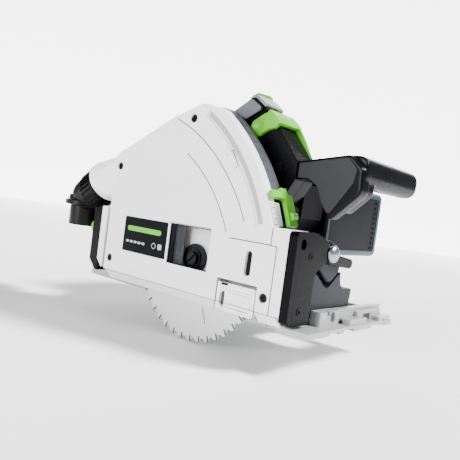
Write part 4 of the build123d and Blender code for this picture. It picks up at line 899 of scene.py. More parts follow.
@dataclass
class FrontBracket:
    """The cast front bracket with its hub, lobe and clamp knob."""

    near: float = 112.2
    far: float = 120.0
    outline: tuple[Point, ...] = (
        (-16, 12), (-11, 8), (18, 8), (18, 52), (30, 58), (38, 64), (38, 76), (31, 80), (22, 83.6),
        (12, 85.5), (-16, 85.5)
    )

    def build(self) -> None:
        """Make the bracket and its knob."""
        self.casting()
        self.knob()
        self.screws()

    def casting(self) -> None:
        """Make the column, its arch and the lobe behind it."""
        radii = [2, 2, 2, 8, 6, 1, 1, 12, 16, 12, 4]
        column = prism("front_bracket_casting", bezel(self.outline, radii, 5), self.near, self.far, Along.X)
        cut(column, cylinder("c", (112.35, *FRONT_BOLT), 10.4, 9, Along.X, 48))
        round_edges(column, 3.2, lambda a, b: a.x > self.far - 0.01 and b.x > self.far - 0.01, 5)
        lobe_line = [
            (12.4, 81), (24, 66), (36.8, 54.1), (57.4, 39.5), (74.8, 51.8), (74, 62), (66, 73), (52, 80),
            (34, 80),
        ]
        lobe = prism("front_lobe", bezel(lobe_line, [0, 6, 7, 9, 6, 6, 6, 8, 8], 6), 103.5, 112.3, Along.X)
        round_edges(lobe, 2.0, lambda a, b: a.x > 112.2 and b.x > 112.2, 4)
        dress(lobe, FINISH.quadrant, "carriage")
        neck = prism(
            "bracket_neck",
            bezel([(12.4, 22), (20, 22), (20, 70), (38, 80), (12.4, 84)], [0, 2, 8, 4, 0]),
            103.0,
            112.3,
            Along.X,
        )
        cut(column, neck, join=True)
        hole = cylinder("h", (112.0, -5.7, 75.5), 3.2, 9, Along.X, 32)
        sink = cylinder("k", (118.2, -5.7, 75.5), 4.4, 3, Along.X, 32)
        cut(column, hole, sink)
        soften(column, 0.4, 2, 50)
        dress(column, FINISH.bracket, "carriage", ["front_bracket"], 35)
        groove = prism(
            "bracket_groove", box_outline((-9.6, 14), (-8.7, 80)), self.far - 0.25, self.far + 0.02, Along.X
        )
        dress(groove, FINISH.recess, "carriage")

    def knob(self) -> None:
        """Make the clamp knob: ribbed collar, satin dome and a flat lever."""
        y, z = FRONT_BOLT
        collar = lathe(
            "front_knob_collar",
            [
                (3.2, 0.1), (9.6, 0.1), (10.0, 0.8), (10.0, 2.6), (9.5, 3.0), (10.0, 3.4), (10.0, 5.2),
                (9.5, 5.6), (9.8, 6.0), (9.2, 7.4), (3.2, 7.4),
            ],
            (112.4, y, z),
            (1, 0, 0),
            56,
        )
        lever_line = [(0, -9.4), (20, -8.6), (42, -7.0), (45, -4.0), (43.5, 2.0), (20, 1.6), (0, 2.6)]
        turn = math.radians(-9)
        turned = [
            (y + a * math.cos(turn) - b * math.sin(turn), z + a * math.sin(turn) + b * math.cos(turn))
            for a, b in bezel(lever_line, [0, 10, 3, 2, 3, 10, 0], 5)
        ]
        lever = prism("front_lever", turned, 113.0, 117.9, Along.X)
        round_edges(lever, 1.6, lambda a, b: abs(a.x - b.x) < 0.01, 4)
        cut(lever, cylinder("c", (112, y, z), 7.9, 8, Along.X, 40))
        whole = join("front_clamp_lever", [collar, lever])
        soften(whole, 0.25, 2, 50)
        dress(whole, FINISH.dark, "front_clamp", ["front_clamp_knob"])
        dome_line = [(0.001, 0.0), (8.2, 0.0), (8.2, 1.2)] + [
            (8.2 * math.cos(math.radians(a)) ** 0.8 + 0.001, 1.2 + 4.6 * math.sin(math.radians(a)))
            for a in range(10, 91, 8)
        ]
        dome = lathe("front_knob_dome", dome_line, (118.4, y, z), (1, 0, 0), 56)
        dress(dome, FINISH.silver, "front_clamp", ["front_knob_cap"], 50)

    def screws(self) -> None:
        """Make the bracket's two recessed screws."""
        made = []
        for index, (y, z) in enumerate(((0.0, 20.0), (8.0, 66.0))):
            head = cylinder(f"bracket_screw_{index}", (119.6, y, z), 3.3, 0.9, Along.X, 36)
            cut(head, cylinder("hex", (120.0, y, z), 1.7, 3, Along.X, 6))
            soften(head, 0.3, 2)
            made.append(head)
        dress(join("bracket_screw_set", made), FINISH.bracket, "carriage", ["bracket_screws"])


@dataclass
class DepthStop:
    """The green depth stop on its arc, with the scale beside it."""

    inner: float = 203.7
    outer: float = 207.7

    def build(self) -> None:
        """Make the stop and the scale's tick marks."""
        bar = prism("depth_stop_bar", ring_outline(PIVOT, self.inner, self.outer, 18.6, 26.4, 16), 3.0, 15.0)
        neck = prism("neck", ring_outline(PIVOT, self.inner, self.outer, 25.2, 28.0, 8), 0.2, 9.0)
        tab = prism("tab", ring_outline(PIVOT, self.inner, self.outer, 25.4, 27.2, 6), -13.0, 4.0)
        cut(bar, neck, tab, join=True)
        bump = cylinder(
            "bump",
            (*around_pivot(self.outer, 21.0)[:1], 6.0, around_pivot(self.outer, 21.0)[1]),
            3.6,
            7.0,
            Along.Y,
            32,
        )
        cut(bar, bump, join=True)
        pointer = prism(
            "pointer", ring_outline(PIVOT, self.outer - 0.6, self.outer + 1.2, 19.2, 20.0, 3), 4.0, 14.0
        )
        cut(bar, pointer)
        soften(bar, 0.5, 3, 45)
        dress(bar, FINISH.green, "depth_slider", ["depth_stop"])
        ticks = []
        for index in range(12):
            angle = 19.0 + index * 0.46
            start = -13.0 if index % 3 == 0 else -9.5
            ticks.append(
                prism(f"t{index}", ring_outline(PIVOT, 203.0, 203.35, angle, angle + 0.12, 1), start, -2.5)
            )
        dress(join("depth_ticks", ticks), FINISH.recess, "carriage")


@dataclass
class BaseFront:
    """The base's cast front blocks and the slate quadrant face with its gusset."""

    def build(self) -> None:
        """Make the blocks and the quadrant face."""
        self.blocks()
        self.quadrant_face()

    def blocks(self) -> None:
        """Make the chunky blocks along the base's front edge."""
        tall = prism("base_block", box_outline((111.8, 32.8), (122.5, 66), 1.5), 4.0, 17.6, Along.Z)
        cut(tall, cylinder("pocket", (119.5, 54, 12.0), 5.4, 12, Along.X, 40))
        cut(tall, prism("side", box_outline((117.0, 44), (130, 49)), 11.0, 20.0, Along.Z))
        step = prism("step", box_outline((111.8, 66), (120.0, 100), 1.0), 4.0, 15.0, Along.Z)
        low = prism("low", box_outline((118.0, 73), (131.0, 107), 1.5), 1.2, 9.8, Along.Z)
        cut(low, prism("v", [(116, 72), (124, 72), (116, 82)], 3.0, 8.0, Along.Z))
        ledge = prism("ledge", box_outline((111.8, 100), (124.0, 152), 1.5), 4.0, 14.6, Along.Z)
        cut(ledge, prism("w", box_outline((119, 112), (126, 128), 1.0), 2.0, 12.0, Along.Z))
        foot = prism("foot", box_outline((118.0, 133), (132.2, 158), 1.5), 1.0, 8.6, Along.Z)
        cut(foot, prism("z", box_outline((126, 140), (134, 146), 0.5), 0.0, 6.0, Along.Z))
        for other in (step, low, ledge, foot):
            cut(tall, other, join=True)
        soften(tall, 0.7, 3, 40)
        dress(tall, FINISH.cast, "base")
        # Near-black discs on the ledge paint the shade inside two holes.
        wells = [cylinder("well", (112.6 + 2.4, y, 14.4), 2.6, 0.5, Along.Z, 24) for y in (108.0, 142.0)]
        dress(join("base_well_shade", wells), FINISH.recess, "base")

    def quadrant_face(self) -> None:
        """Make the slate plate beside the bracket, with a shoulder."""
        line = [(19.5, 8.2), (96, 8.2), (99, 36), (80, 50), (74, 60), (56, 72), (30, 60), (19.5, 50)]
        plate = prism("quadrant_plate", bezel(line, [1, 2, 3, 4, 6, 10, 10, 2], 5), 96.8, 102.3, Along.X)
        slot = prism("slot", ring_outline((0.0, 0.0), 77.9, 84.9, 52, 96, 24), 100.2, 103, Along.X)
        cut(plate, slot)
        shoulder_line = [
            (24, 9), (102, 9), (105.5, 34.5), (84, 34.8), (80.5, 44), (79.5, 51), (77.5, 49.5), (57.5, 34.5),
            (36, 49.5), (24, 50)
        ]  # fmt: skip
        radii = [1, 2, 1.5, 0.5, 2, 0.5, 3, 9, 4, 1]
        shoulder = prism("shoulder", bezel(shoulder_line, radii, 4), 101.0, 111.2, Along.X)
        round_edges(shoulder, 0.9, lambda a, b: a.x > 111.1 and b.x > 111.1, 3)
        rib = prism("rib", [(100, 34), (110.6, 34), (100, 45)], 79.5, 90.0, Along.Y)
        cut(plate, shoulder, join=True)
        cut(plate, rib, join=True)
        soften(plate, 0.6, 3, 40)
        dress(plate, FINISH.quadrant, "base")


@dataclass
class RearFittings:
    """The rear bracket, its pale strip and the release button."""

    def build(self) -> None:
        """Make the rear fittings."""
        slab_line = [(-157.5, 78), (-157.5, 20), (-146, 8.6), (-141.3, 8.6), (-141.3, 78)]
        slab = prism("rear_bracket_slab", bezel(slab_line, [2, 3, 1.5, 0.5, 1], 4), -10.0, 14.0)
        web = prism("web", box_outline((-150, 20), (-130.2, 70)), 9.6, 14.0)
        lobe = prism(
            "lobe",
            bezel([(9.6, 20), (54, 26), (64, 40), (54, 54), (9.6, 70)], [0, 8, 7, 8, 0], 6),
            -134.5,
            -130.2,
            Along.X,
        )
        cut(slab, web, lobe, join=True)
        cut(slab, cylinder("h", (-158, 0, 55.8), 9.0, 12, Along.X, 48))
        soften(slab, 0.7, 3, 40)
        dress(slab, FINISH.bracket, "carriage", ["rear_bracket"])
        strip_line = [(-141, 81), (-141, 22), (-133, 14), (-131, 14), (-131, 81)]
        strip = prism("rear_mount_strip", strip_line, -12.0, 9.0)
        soften(strip, 0.7, 3)
        dress(strip, FINISH.cover, "carriage", ["rear_strip"])
        button = lathe(
            "rear_button",
            [(0.001, 0.0), (3.5, 0.35), (6.2, 1.8), (7.8, 4.0), (8.4, 6.5), (8.4, 17.0), (0.001, 17.0)],
            (-168.5, 0, 55.8),
            (1, 0, 0),
            48,
        )
        dress(button, FINISH.green, "release_button", ["rear_release_button"])


# ------------------------------------------------------------------ dust extraction


@dataclass
class DustOutlet:
    """The white socket and the black swivel elbow."""

    ring: Triple = (-155.0, 0.0, 107.0)
    tilt: float = 31.5
    outlet_x: float = -190.0
    bottom: float = 54.0

    @property
    def axis(self) -> Triple:
        """The swivel's axis, pointing away from the cover."""
        return (-math.cos(math.radians(self.tilt)), 0.0, -math.sin(math.radians(self.tilt)))

    def along(self, run: float) -> Vector:
        """Return the place on the swivel's axis at a distance from the ring, in millimetres."""
        return Vector(self.ring) + Vector(self.axis) * run

    def build(self) -> None:
        """Make the socket and the elbow."""
        self.socket()
        self.elbow()

    def socket(self) -> None:
        """Make the flared white socket by shaping a grid of rings from the cover to its round mouth."""
        rings = 9
        sides = 48
        deselect()
        bpy.ops.mesh.primitive_cylinder_add(vertices=sides, radius=0.02, depth=0.04, end_fill_type="NOTHING")
        made = bpy.context.object
        made.name = made.data.name = "dust_socket"
        bpy.ops.object.mode_set(mode="EDIT")
        bpy.ops.mesh.select_all(action="DESELECT")
        bpy.ops.object.mode_set(mode="OBJECT")
        for edge in made.data.edges:
            a, b = (made.data.vertices[i].co for i in edge.vertices)
            edge.select = abs(a.z - b.z) > 0.01
        bpy.ops.object.mode_set(mode="EDIT")
        bpy.ops.mesh.subdivide_edgering(number_cuts=rings - 1)
        bpy.ops.object.mode_set(mode="OBJECT")
        mouth_low, mouth_high = Vector((-15.8, 92.0)), Vector((8.6, 137.3))
        for vertex in made.data.vertices:
            share = (vertex.co.z + 0.02) / 0.04
            angle = math.atan2(vertex.co.y, vertex.co.x)
            c, s = math.cos(angle), math.sin(angle)
            power = 0.3
            start = Vector(
                (
                    -121.7,
                    (mouth_low.x + mouth_high.x) / 2
                    + math.copysign(abs(c) ** power, c) * (mouth_high.x - mouth_low.x) / 2,
                    (mouth_low.y + mouth_high.y) / 2
                    + math.copysign(abs(s) ** power, s) * (mouth_high.y - mouth_low.y) / 2,
                )
            )
            across = Vector((math.sin(math.radians(self.tilt)), 0, -math.cos(math.radians(self.tilt))))
            end = self.along(-5.0) + (Vector((0, 1, 0)) * c - across * s) * 23.8
            ease = share * share * (3 - 2 * share)
            vertex.co = start.lerp(end, 0.85 * share + 0.15 * ease) * MM
        activate(made)
        bpy.ops.object.mode_set(mode="EDIT")
        bpy.ops.mesh.select_all(action="SELECT")
        bpy.ops.mesh.normals_make_consistent(inside=False)
        bpy.ops.object.mode_set(mode="OBJECT")
        wall = made.modifiers.new("wall", "SOLIDIFY")
        wall.thickness = 2.4 * MM
        wall.offset = -1.0
        bpy.ops.object.modifier_apply(modifier=wall.name)
        lip = lathe(
            "lip",
            [
                (21.0, -5.2), (23.7, -5.2), (24.0, -4.4), (24.0, -0.8), (23.4, 0.0), (20.6, 0.0),
                (20.2, -0.8), (20.2, -4.6),
            ],
            self.ring,
            self.axis,
            64,
        )
        dress(join("dust_socket", [made, lip]), FINISH.cover, "carriage", ["dust_port"], 45)

    def elbow(self) -> None:
        """Make the ribbed collar, the bend, the flange and the outlet spout."""
        centre = self.along(33.0)
        collar = lathe(
            "collar",
            [
                (19.2, 0.5), (22.0, 0.5), (22.4, 1.2), (22.4, 4.0), (20.6, 4.6), (20.6, 22.0), (21.6, 23.0),
                (21.2, 33.0), (17.6, 33.0), (17.6, 2.0),
            ],
            self.ring,
            self.axis,
            64,
        )
        ribs = []
        across = Vector((0, 1, 0))
        upward = Vector(self.axis).cross(across)
        for index in range(26):
            angle = 2 * math.pi * index / 26
            out = across * math.cos(angle) + upward * math.sin(angle)
            deselect()
            bpy.ops.mesh.primitive_cube_add(size=0.001)
            rib = bpy.context.object
            rib.name = f"rib_{index}"
            side_way = Vector(self.axis).cross(out)
            turn = Matrix((out, side_way, Vector(self.axis))).transposed().to_4x4()
            middle = self.along(13.2) + out * 21.6
            rib.data.transform(
                Matrix.Translation(middle * MM) @ turn @ Matrix.Diagonal((2.3, 1.9, 17.0, 1.0))
            )
            ribs.append(rib)
        bend = lathe(
            "bend",
            [(0.001, -21.0)]
            + [
                (21.0 * math.sin(math.radians(a)), -21.0 * math.cos(math.radians(a)))
                for a in range(12, 180, 12)
            ]
            + [(0.001, 21.0)],
            tuple(centre),
            (0, 0, 1),
            48,
        )
        spout = lathe(
            "spout",
            [
                (14.6, self.bottom), (17.2, self.bottom), (18.0, self.bottom + 1.0), (18.0, 76.5),
                (23.2, 77.2), (24.0, 78.0),
                (24.0, 82.2), (23.2, 83.0), (20.5, 83.6), (20.0, 89.0), (14.6, 89.0),
            ],  # fmt: skip
            (self.outlet_x, 0, 0),
            (0, 0, 1),
            64,
        )
        bore = cylinder("bore", (self.outlet_x, 0, self.bottom - 1), 14.55, 30, Along.Z, 48)
        cut(bend, bore)
        whole = join("dust_swivel_elbow", [bend, collar, spout, *ribs])
        soften(whole, 0.3, 2, 50)
        dress(whole, FINISH.dust, "dust_swivel", ["dust_elbow"], 40)


# ------------------------------------------------------------------ blade


@dataclass
class Blade:
    """The saw blade's carbide tips."""

    teeth: int = 42
    phase: float = -142.6
    radius: float = 80.0

    def build(self) -> None:
        """Add a carbide tip to the front of each tooth."""
        tips = []
        for index in range(self.teeth):
            start = self.phase - 360 / self.teeth * (index + 0.36)
            corners = []
            for radius, turn in (
                (self.radius - 6.4, 0.0), (self.radius - 0.3, 0.0), (self.radius - 0.55, -1.3),
                (self.radius - 6.2, -1.1),
            ):
                angle = math.radians(start + turn)
                corners.append((ARBOR[0] + radius * math.cos(angle), ARBOR[1] + radius * math.sin(angle)))
            tips.append(prism(f"tip_{index}", corners, -1.2, 1.2))
        made = join("carbide_tips", tips)
        dress(made, FINISH.carbide, "arbor")


# ------------------------------------------------------------------ handles


@dataclass
class MainHandle:
    """The main handle's two shells, its cap, its levers and its rim strip."""

    right: float = 22.0
    split: float = 37.0
    left: float = 52.0
    outline: tuple[Point, ...] = (
        (27, 204), (42, 193), (59, 177), (78, 154), (84.5, 146), (84.5, 129), (71, 106), (69, 94), (58, 80),
        (24, 80),
        (24, 120.5), (-74, 120.5), (-80, 136), (-70, 153), (3, 191),
    )
    opening: tuple[Point, ...] = ((-52, 131), (-44, 137), (2, 161), (14, 160), (22, 148), (26, 131))
    radii: list[float] = field(default_factory=lambda: [2, 30, 40, 6, 3, 4, 6, 6, 5, 2, 0.5, 0.5, 8, 14, 2])

    def build(self) -> None:
        """Make every visible handle piece."""
        self.shells()
        self.underside()
        self.cap()
        self.lever()
        self.strip()
        self.trigger()

    def shells(self) -> None:
        """Make the two half shells with generously rounded outer edges."""
        outer = bezel(self.outline, self.radii, 6)
        grip = bezel(self.opening, [4, 5, 10, 7, 7, 5], 5)
        for name, node, low, high, far in (
            ("handle_shell_right", "handle_right", self.right, self.split - 0.15, self.right),
            ("handle_shell_left", "handle_left", self.split + 0.15, self.left, self.left),
        ):
            shell = prism(name, outer, low, high)
            cut(shell, prism("grip", grip, low - 2, high + 2))
            round_edges(shell, 5.0, lambda a, b, far=far: abs(a.y - far) < 0.02 and abs(b.y - far) < 0.02, 6)
            soften(shell, 0.45, 2, 50)
            dress(shell, FINISH.dark, "saw_unit", [node], 35)

    def underside(self) -> None:
        """Make a dark filler under the handle's front, as painted shade."""
        line = [(69.5, 108), (75, 104), (73, 91), (66, 81), (56, 80), (63, 92)]
        web = prism("handle_underside_shade", bezel(line, 2.0, 4), self.right + 0.4, self.left - 0.4)
        soften(web, 1.0, 3)
        dress(web, FINISH.deep, "saw_unit")

    def cap(self) -> None:
        """Make the grey side panel and the bright strip that wraps the front."""
        panel = prism(
            "cap_panel",
            bezel([(5, 190.6), (25.5, 202), (39.5, 192.6), (20.5, 182.5)], [2, 2.5, 2.5, 2], 5),
            self.right - 2.0,
            self.right + 0.8,
        )
        soften(panel, 0.7, 3)
        rim = prism(
            "cap_rim",
            bezel([(3, 190), (26, 203.6), (41.4, 192.5), (19, 181)], [2, 3, 3, 2], 5),
            self.right - 1.2,
            self.right + 0.9,
        )
        soften(rim, 0.3, 2)
        wrap_line = [(24.5, 204.6), (27, 204.2), (40.1, 194.6), (42, 196.8), (28, 207.2)]
        wrap = prism(
            "cap_wrap", bezel(wrap_line, [0.5, 0.5, 0.5, 1.5, 3], 4), self.right + 0.6, self.left - 1.0
        )
        soften(wrap, 0.6, 3)
        dress(rim, FINISH.recess, "saw_unit", ["handle_cap"])
        dress(panel, FINISH.cap, "saw_unit")
        dress(wrap, FINISH.bright, "saw_unit")

    def lever(self) -> None:
        """Make the green lock lever: two cheeks with a thumb dimple, joined over the ridge."""
        tip = arc((38.0, 174.6), 8.2, 292, 118, 16)
        line = [(58.2, 173.6), (52.6, 173.0), (47.0, 170.6), *tip, (44, 187.4), (51, 189.6), (62.2, 178.6)]
        cheek = prism("lock_cheek", line, self.right - 4.6, self.right - 0.5)
        round_edges(cheek, 1.5, lambda a, b: a.y < self.right - 4.5 and b.y < self.right - 4.5, 4)
        deselect()
        bpy.ops.mesh.primitive_uv_sphere_add(segments=40, ring_count=20, radius=0.012)
        dimple = bpy.context.object
        dimple.data.transform(Matrix.Translation(Vector((38.6, self.right - 14.2, 176.4)) * MM))
        cut(cheek, dimple)
        strap_line = [
            (47.5, 188.6), (50.2, 191.2), (57.0, 185.6), (63.1, 179.0), (60.0, 176.6), (54.0, 183.4)
        ]
        strap = prism(
            "lock_strap", bezel(strap_line, [0.8, 1, 8, 1, 0.8, 8], 4), self.right - 4.4, self.left + 3.6
        )
        round_edges(
            strap,
            1.0,
            lambda a, b: abs(a.y - b.y) < 0.01 and (a.y < self.right - 4.3 or a.y > self.left + 3.5),
            3,
        )
        far_cheek = prism("lock_far", line, self.left + 0.5, self.left + 3.7)
        whole = join("lock_lever_green", [cheek, strap, far_cheek])
        soften(whole, 0.35, 2, 50)
        dress(whole, FINISH.green, "lock_key", ["lock_lever"], 40)
        far = prism(
            "change_lever_green",
            bezel([(-3, 184), (-4, 213), (5, 217), (22, 212.5), (24, 196), (8, 182)], [3, 4, 4, 4, 4, 3], 5),
            self.left + 0.6,
            self.left + 5.4,
        )
        soften(far, 1.2, 4)
        dress(far, FINISH.green, "change_key", ["change_lever"])

    def strip(self) -> None:
        """Make the thin green strip along the left front ridge."""
        ridge = [(58, 178.0), (68, 165.6), (80.2, 151.0)]
        lifted = [(63.5, 180.0), (71.2, 169.0), (81.2, 152.0)]
        strip = prism("ridge_strip", ridge + lifted[::-1], self.left - 2.6, self.left - 0.4)
        soften(strip, 0.4, 2)
        dress(strip, FINISH.green, "saw_unit")

    def trigger(self) -> None:
        """Make the trigger with finger ribs."""
        line = [(-4, 158), (9, 166), (16, 151), (12, 144), (4, 146)]
        key = prism("trigger_key_green", bezel(line, [1, 1, 2, 2.5, 2], 5), 31.0, 43.0)
        soften(key, 0.8, 3)
        dress(key, FINISH.green, "trigger_key", ["trigger"])


@dataclass
class AuxHandle:
    """The front handle: a flat arm that turns into a round bar."""

    near: float = 22.0
    bar_end: float = 140.0

    def build(self) -> None:
        """Make the arm and the bar."""
        arm_line = [
            (85, 146), (135, 153.5), (148, 142), (149, 122), (122.5, 96.5), (106, 128), (96, 131), (85, 129.5)
        ]
        arm = prism(
            "front_handle", bezel(arm_line, [0.5, 7, 6, 7, 3, 12, 10, 1], 6), self.near, self.near + 13
        )
        foot_line = [(112, 150), (134, 152.5), (147, 142), (148, 122.5), (127.5, 102.5), (113, 131)]
        foot = prism("foot", bezel(foot_line, [4, 7, 6, 7, 4, 4], 5), self.near + 11, self.near + 26)
        bar = prism("bar", box_outline((125.5, 128.0), (149.4, 153.8), 9.5), self.near + 6, self.bar_end)
        cut(arm, foot, bar, join=True)
        round_edges(arm, 3.0, lambda a, b: abs(a.y - self.near) < 0.02 and abs(b.y - self.near) < 0.02, 5)
        round_edges(
            arm, 7.5, lambda a, b: abs(a.y - self.bar_end) < 0.02 and abs(b.y - self.bar_end) < 0.02, 6
        )
        activate(arm)
        melt = arm.modifiers.new("melt", "REMESH")
        melt.mode = "VOXEL"
        melt.voxel_size = 0.0011
        bpy.ops.object.modifier_apply(modifier=melt.name)
        relax = arm.modifiers.new("relax", "SMOOTH")
        relax.factor = 0.5
        relax.iterations = 9
        bpy.ops.object.modifier_apply(modifier=relax.name)
        dress(arm, FINISH.dark, "saw_unit", ["aux_handle"], 60)
        inset_line = bezel(
            [
                (87, 144.0), (133.5, 150.8), (142.8, 141.5), (141, 130), (121.5, 101), (113.5, 112),
                (108, 125), (98, 131.5), (87, 131),
            ],
            [1, 5, 5, 8, 3, 6, 8, 6, 1],
            5,
        )
        inlay = prism("handle_inlay", inset_line, self.near - 0.25, self.near + 1.0)
        soften(inlay, 0.3, 2)
        dress(inlay, FINISH.inlay, "saw_unit")


# ------------------------------------------------------------------ battery


@dataclass
class BatteryPack:
    """A slide-on battery: framed case, recessed panel and a column of vent slots."""

    place: str
    inner: float
    direction: int
    start: float = 95.0
    length: float = 118.0
    depth: float = 68.0
    low: float = 62.0
    height: float = 73.0

    def build(self) -> None:
        """Make the case, its panel, its slots and its release button."""
        outer = self.inner + self.direction * self.depth
        low_x, high_x = sorted((self.inner, outer))
        case = prism(
            f"{self.place}_battery_case",
            box_outline((low_x, self.low), (high_x, self.low + self.height), 7),
            self.start,
            self.start + self.length,
        )
        round_edges(
            case, 4.5, lambda a, b: abs(a.y - self.start - self.length) < 0.02 and abs(b.y - a.y) < 0.02, 5
        )
        panel_low = (self.start + 3.5, self.low + 6.5)
        panel_high = (self.start + self.length - 9, self.low + self.height - 7)
        floor_a, floor_b = sorted((outer - self.direction * 1.4, outer + self.direction * 2))
        cut(case, prism("p", box_outline(panel_low, panel_high, 3), floor_a, floor_b, Along.X))
        end_low, end_high = (low_x + 2.5, self.low + 2.5), (high_x - 3.5, self.low + self.height - 2.5)
        end_plate = prism(
            f"{self.place}_battery_end",
            box_outline(end_low, end_high, 4),
            self.start - 0.25,
            self.start + 0.6,
        )
        dress(end_plate, FINISH.deep, f"{self.place}_pack")
        mid_z = self.low + self.height / 2
        grooves = [
            prism(
                "g",
                box_outline(
                    (min(self.inner, self.inner + self.direction * 5) - 0.5, mid_z + off - 3),
                    (max(self.inner, self.inner + self.direction * 5) + 0.5, mid_z + off + 3),
                ),
                self.start - 1,
                self.start + 94,
            )
            for off in (19.5, -19.5)
        ]
        cut(case, *grooves)
        end_y = self.start + self.length
        mid_x = self.inner + self.direction * (self.depth - 16)
        cut(
            case,
            prism(
                "b",
                box_outline((mid_x - 7.5, mid_z - 15.5), (mid_x + 7.5, mid_z + 15.5), 3),
                end_y - 7,
                end_y + 2,
            ),
        )
        soften(case, 0.6, 3, 40)
        body = f"{self.place}_pack"
        dress(case, FINISH.battery, body, [f"{self.place}_battery"], 35)
        top_a, top_b = sorted((outer - self.direction * 1.5, outer - self.direction * 0.5))
        plate = prism(
            f"{self.place}_battery_panel",
            box_outline(
                (panel_low[0] + 0.4, panel_low[1] + 0.4), (panel_high[0] - 0.4, panel_high[1] - 0.4), 2.6
            ),
            top_a,
            top_b,
            Along.X,
        )
        slots = []
        for index in range(10):
            z = mid_z - 26 + index * 5.6
            slots.append(
                prism(
                    "s",
                    box_outline((panel_high[0] - 11.5, z - 1.6), (panel_high[0] - 5.0, z + 1.6), 0.8),
                    top_a - 0.4,
                    top_b + 1,
                    Along.X,
                )
            )
        cut(plate, *slots)
        soften(plate, 0.25, 2, 45)
        dress(plate, FINISH.panel, body)
        # A near-black sheet behind the vent slots paints the shade seen through them.
        dark_a, dark_b = sorted((outer - self.direction * 1.45, outer - self.direction * 1.2))
        back = prism(
            f"{self.place}_vent_slot_shade",
            box_outline((panel_high[0] - 12.5, mid_z - 29), (panel_high[0] - 3.6, mid_z + 27)),
            dark_a,
            dark_b,
            Along.X,
        )
        dress(back, FINISH.recess, body)
        button = prism(
            f"{self.place}_pack_button_green",
            box_outline((mid_x - 7, mid_z - 15), (mid_x + 7, mid_z + 15), 3),
            end_y - 3.6,
            end_y + 1.4,
        )
        for k in range(4):
            cut(
                button,
                prism(
                    "n",
                    box_outline((mid_x - 5, mid_z - 9 + 6 * k), (mid_x + 5, mid_z - 7.6 + 6 * k)),
                    end_y + 0.9,
                    end_y + 3,
                ),
            )
        soften(button, 0.6, 3, 45)
        dress(button, FINISH.green, f"{self.place}_pack_button", [f"{self.place}_battery_button"])


# ------------------------------------------------------------------ CAD nodes that stay


@dataclass
class CadDressing:
    """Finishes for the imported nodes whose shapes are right."""

    wardrobe: dict[str, Finish] = field(
        default_factory=lambda: {
            "base_plate": FINISH.cast,
            "edge_strip": FINISH.cast,
            "front_guide_jaw": FINISH.green,
            "rear_guide_jaw": FINISH.green,
            "front_quadrant": FINISH.quadrant,
            "rear_quadrant": FINISH.quadrant,
            "quadrant_screws": FINISH.steel,
            "guard_housing": FINISH.housing,
            "depth_scale": FINISH.scale,
            "pivot_pin": FINISH.steel,
            "plunge_spring": FINISH.steel,
            "clamp_bolts": FINISH.steel,
            "rear_clamp_knob": FINISH.dark,
            "gear_housing": FINISH.deep,
            "gear_cover": FINISH.deep,
            "motor_housing": FINISH.dark,
            "stator": FINISH.copper,
            "bearings": FINISH.steel,
            "circuit_board": FINISH.board,
            "electronics_case": FINISH.deep,
            "housing_screws": FINISH.oxide,
            "front_battery_mount": FINISH.dark,
            "rear_battery_mount": FINISH.dark,
            "saw_blade": FINISH.blade,
            "inner_flange": FINISH.steel,
            "outer_flange": FINISH.oxide,
            "clamp_screw": FINISH.oxide,
            "arbor_shaft": FINISH.steel,
            "drive_gear": FINISH.steel,
            "idler_gear": FINISH.steel,
            "motor_pinion": FINISH.steel,
            "rotor_shaft": FINISH.steel,
            "rotor_core": FINISH.copper,
            "cooling_fan": FINISH.dust,
            "speed_dial": FINISH.green,
        }
    )

    def build(self, nodes: dict[str, bpy.types.Object]) -> None:
        """Put each node's finish in its material slots.

        Args:
            nodes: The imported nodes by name.
        """
        for name, finish in self.wardrobe.items():
            node = nodes.get(name)
            if node is None:
                LOG.warning("node %s is missing", name)
                continue
            node.data.materials.clear()
            node.data.materials.append(finish.material())
            LOG.info("%s wears %s", name, finish.name)


# ------------------------------------------------------------------ studio


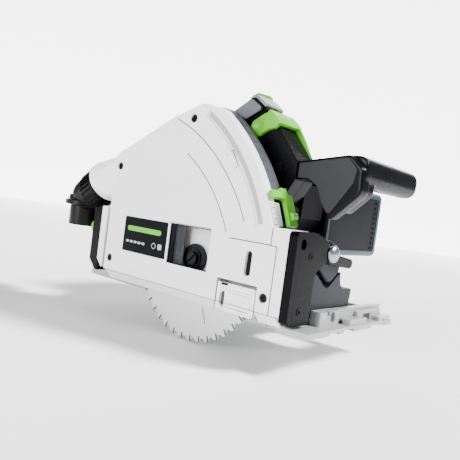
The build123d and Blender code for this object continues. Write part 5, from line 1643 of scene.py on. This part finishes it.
@dataclass
class Studio:
    """Floor, lights and camera."""

    eye: Triple = (344.0, -365.7, 97.5)
    azimuth: float = 40.068
    elevation: float = 2.457
    roll: float = -7.555
    lens: float = 41.04
    floor_z: float = -35.6
    floor_glow: float = 0.0
    surround: float = 0.3
    backdrop_glow: float = 3.2

    def build(self) -> None:
        """Make the studio."""
        self.floor()
        self.backdrop()
        self.lights()
        self.camera()

    def floor(self) -> None:
        """Lay a wide pale floor."""
        deselect()
        bpy.ops.mesh.primitive_plane_add(size=12, location=(0, 0, self.floor_z * MM))
        sheet = bpy.context.object
        sheet.name = "studio_floor"
        material = bpy.data.materials.new("studio_floor")
        material.use_nodes = True
        shader = material.node_tree.nodes["Principled BSDF"]
        shader.inputs["Base Color"].default_value = (0.93, 0.93, 0.935, 1)
        shader.inputs["Roughness"].default_value = 0.9
        shader.inputs["Emission Color"].default_value = (1, 1, 1, 1)
        shader.inputs["Emission Strength"].default_value = self.floor_glow
        sheet.data.materials.append(material)

    def backdrop(self) -> None:
        """Hang a glowing white sheet behind the saw."""
        deselect()
        bpy.ops.mesh.primitive_plane_add(size=4.6)
        sheet = bpy.context.object
        sheet.name = "studio_backdrop"
        away = Vector((-math.sin(math.radians(self.azimuth)), math.cos(math.radians(self.azimuth)), 0))
        turn = Matrix.Rotation(math.radians(self.azimuth), 4, "Z") @ Matrix.Rotation(math.radians(90), 4, "X")
        sheet.data.transform(Matrix.Translation(away * 3.2) @ turn)
        material = bpy.data.materials.new("studio_backdrop")
        material.use_nodes = True
        shader = material.node_tree.nodes["Principled BSDF"]
        shader.inputs["Base Color"].default_value = (0.9, 0.9, 0.9, 1)
        shader.inputs["Emission Color"].default_value = (1, 1, 1, 1)
        shader.inputs["Emission Strength"].default_value = self.backdrop_glow
        sheet.data.materials.append(material)

    def sun(self, name: str, place: Triple, strength: float, spread: float) -> None:
        """Add a distant soft light.

        Args:
            name: The light's name.
            place: Where it shines from, as a direction away from the saw.
            strength: Its strength.
            spread: Its angular size in degrees.
        """
        data = bpy.data.lights.new(name, "SUN")
        data.energy = strength
        data.angle = math.radians(spread)
        lamp = bpy.data.objects.new(name, data)
        lamp.location = place
        lamp.rotation_euler = Vector(place).to_track_quat("Z", "Y").to_euler()
        bpy.context.collection.objects.link(lamp)

    def lights(self) -> None:
        """Add a bright surround, a key light behind and right, and a soft front fill."""
        world = bpy.data.worlds.new("studio")
        world.use_nodes = True
        world.node_tree.nodes["Background"].inputs["Color"].default_value = (1, 1, 1, 1)
        world.node_tree.nodes["Background"].inputs["Strength"].default_value = self.surround
        bpy.context.scene.world = world
        self.sun("key", (0.70, 0.42, 0.80), 11.0, 12)
        self.sun("fill", (-0.12, -1.0, 0.24), 4.5, 30)

    def camera(self) -> None:
        """Set the camera at its viewing angle, rolled as a hand-held product view."""
        a, e, r = (math.radians(v) for v in (self.azimuth, self.elevation, self.roll))
        back = Vector((math.sin(a) * math.cos(e), -math.cos(a) * math.cos(e), math.sin(e)))
        right = Vector((math.cos(a), math.sin(a), 0))
        up = back.cross(right)
        x_axis = right * math.cos(r) - up * math.sin(r)
        y_axis = right * math.sin(r) + up * math.cos(r)
        data = bpy.data.cameras.new("camera")
        data.lens = self.lens
        data.sensor_width = 36
        data.clip_start = 0.01
        data.clip_end = 50
        camera = bpy.data.objects.new("camera", data)
        turn = Matrix((x_axis, y_axis, back)).transposed().to_4x4()
        camera.matrix_world = Matrix.Translation(Vector(self.eye) * MM) @ turn
        bpy.context.collection.objects.link(camera)
        bpy.context.scene.camera = camera


def main() -> None:
    """Build the whole saw around its frame."""
    logging.basicConfig(level=logging.INFO, format="%(name)s: %(message)s")
    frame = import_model()
    Studio().build()
    CadDressing().build(frame["nodes"])
    GuardCover().build()
    GuardBand().build()
    FrontBracket().build()
    BaseFront().build()
    DepthStop().build()
    RearFittings().build()
    DustOutlet().build()
    Blade().build()
    MainHandle().build()
    AuxHandle().build()
    BatteryPack("front", 13.8, 1).build()
    BatteryPack("rear", -78.8, -1).build()


if __name__ == "__main__":
    main()
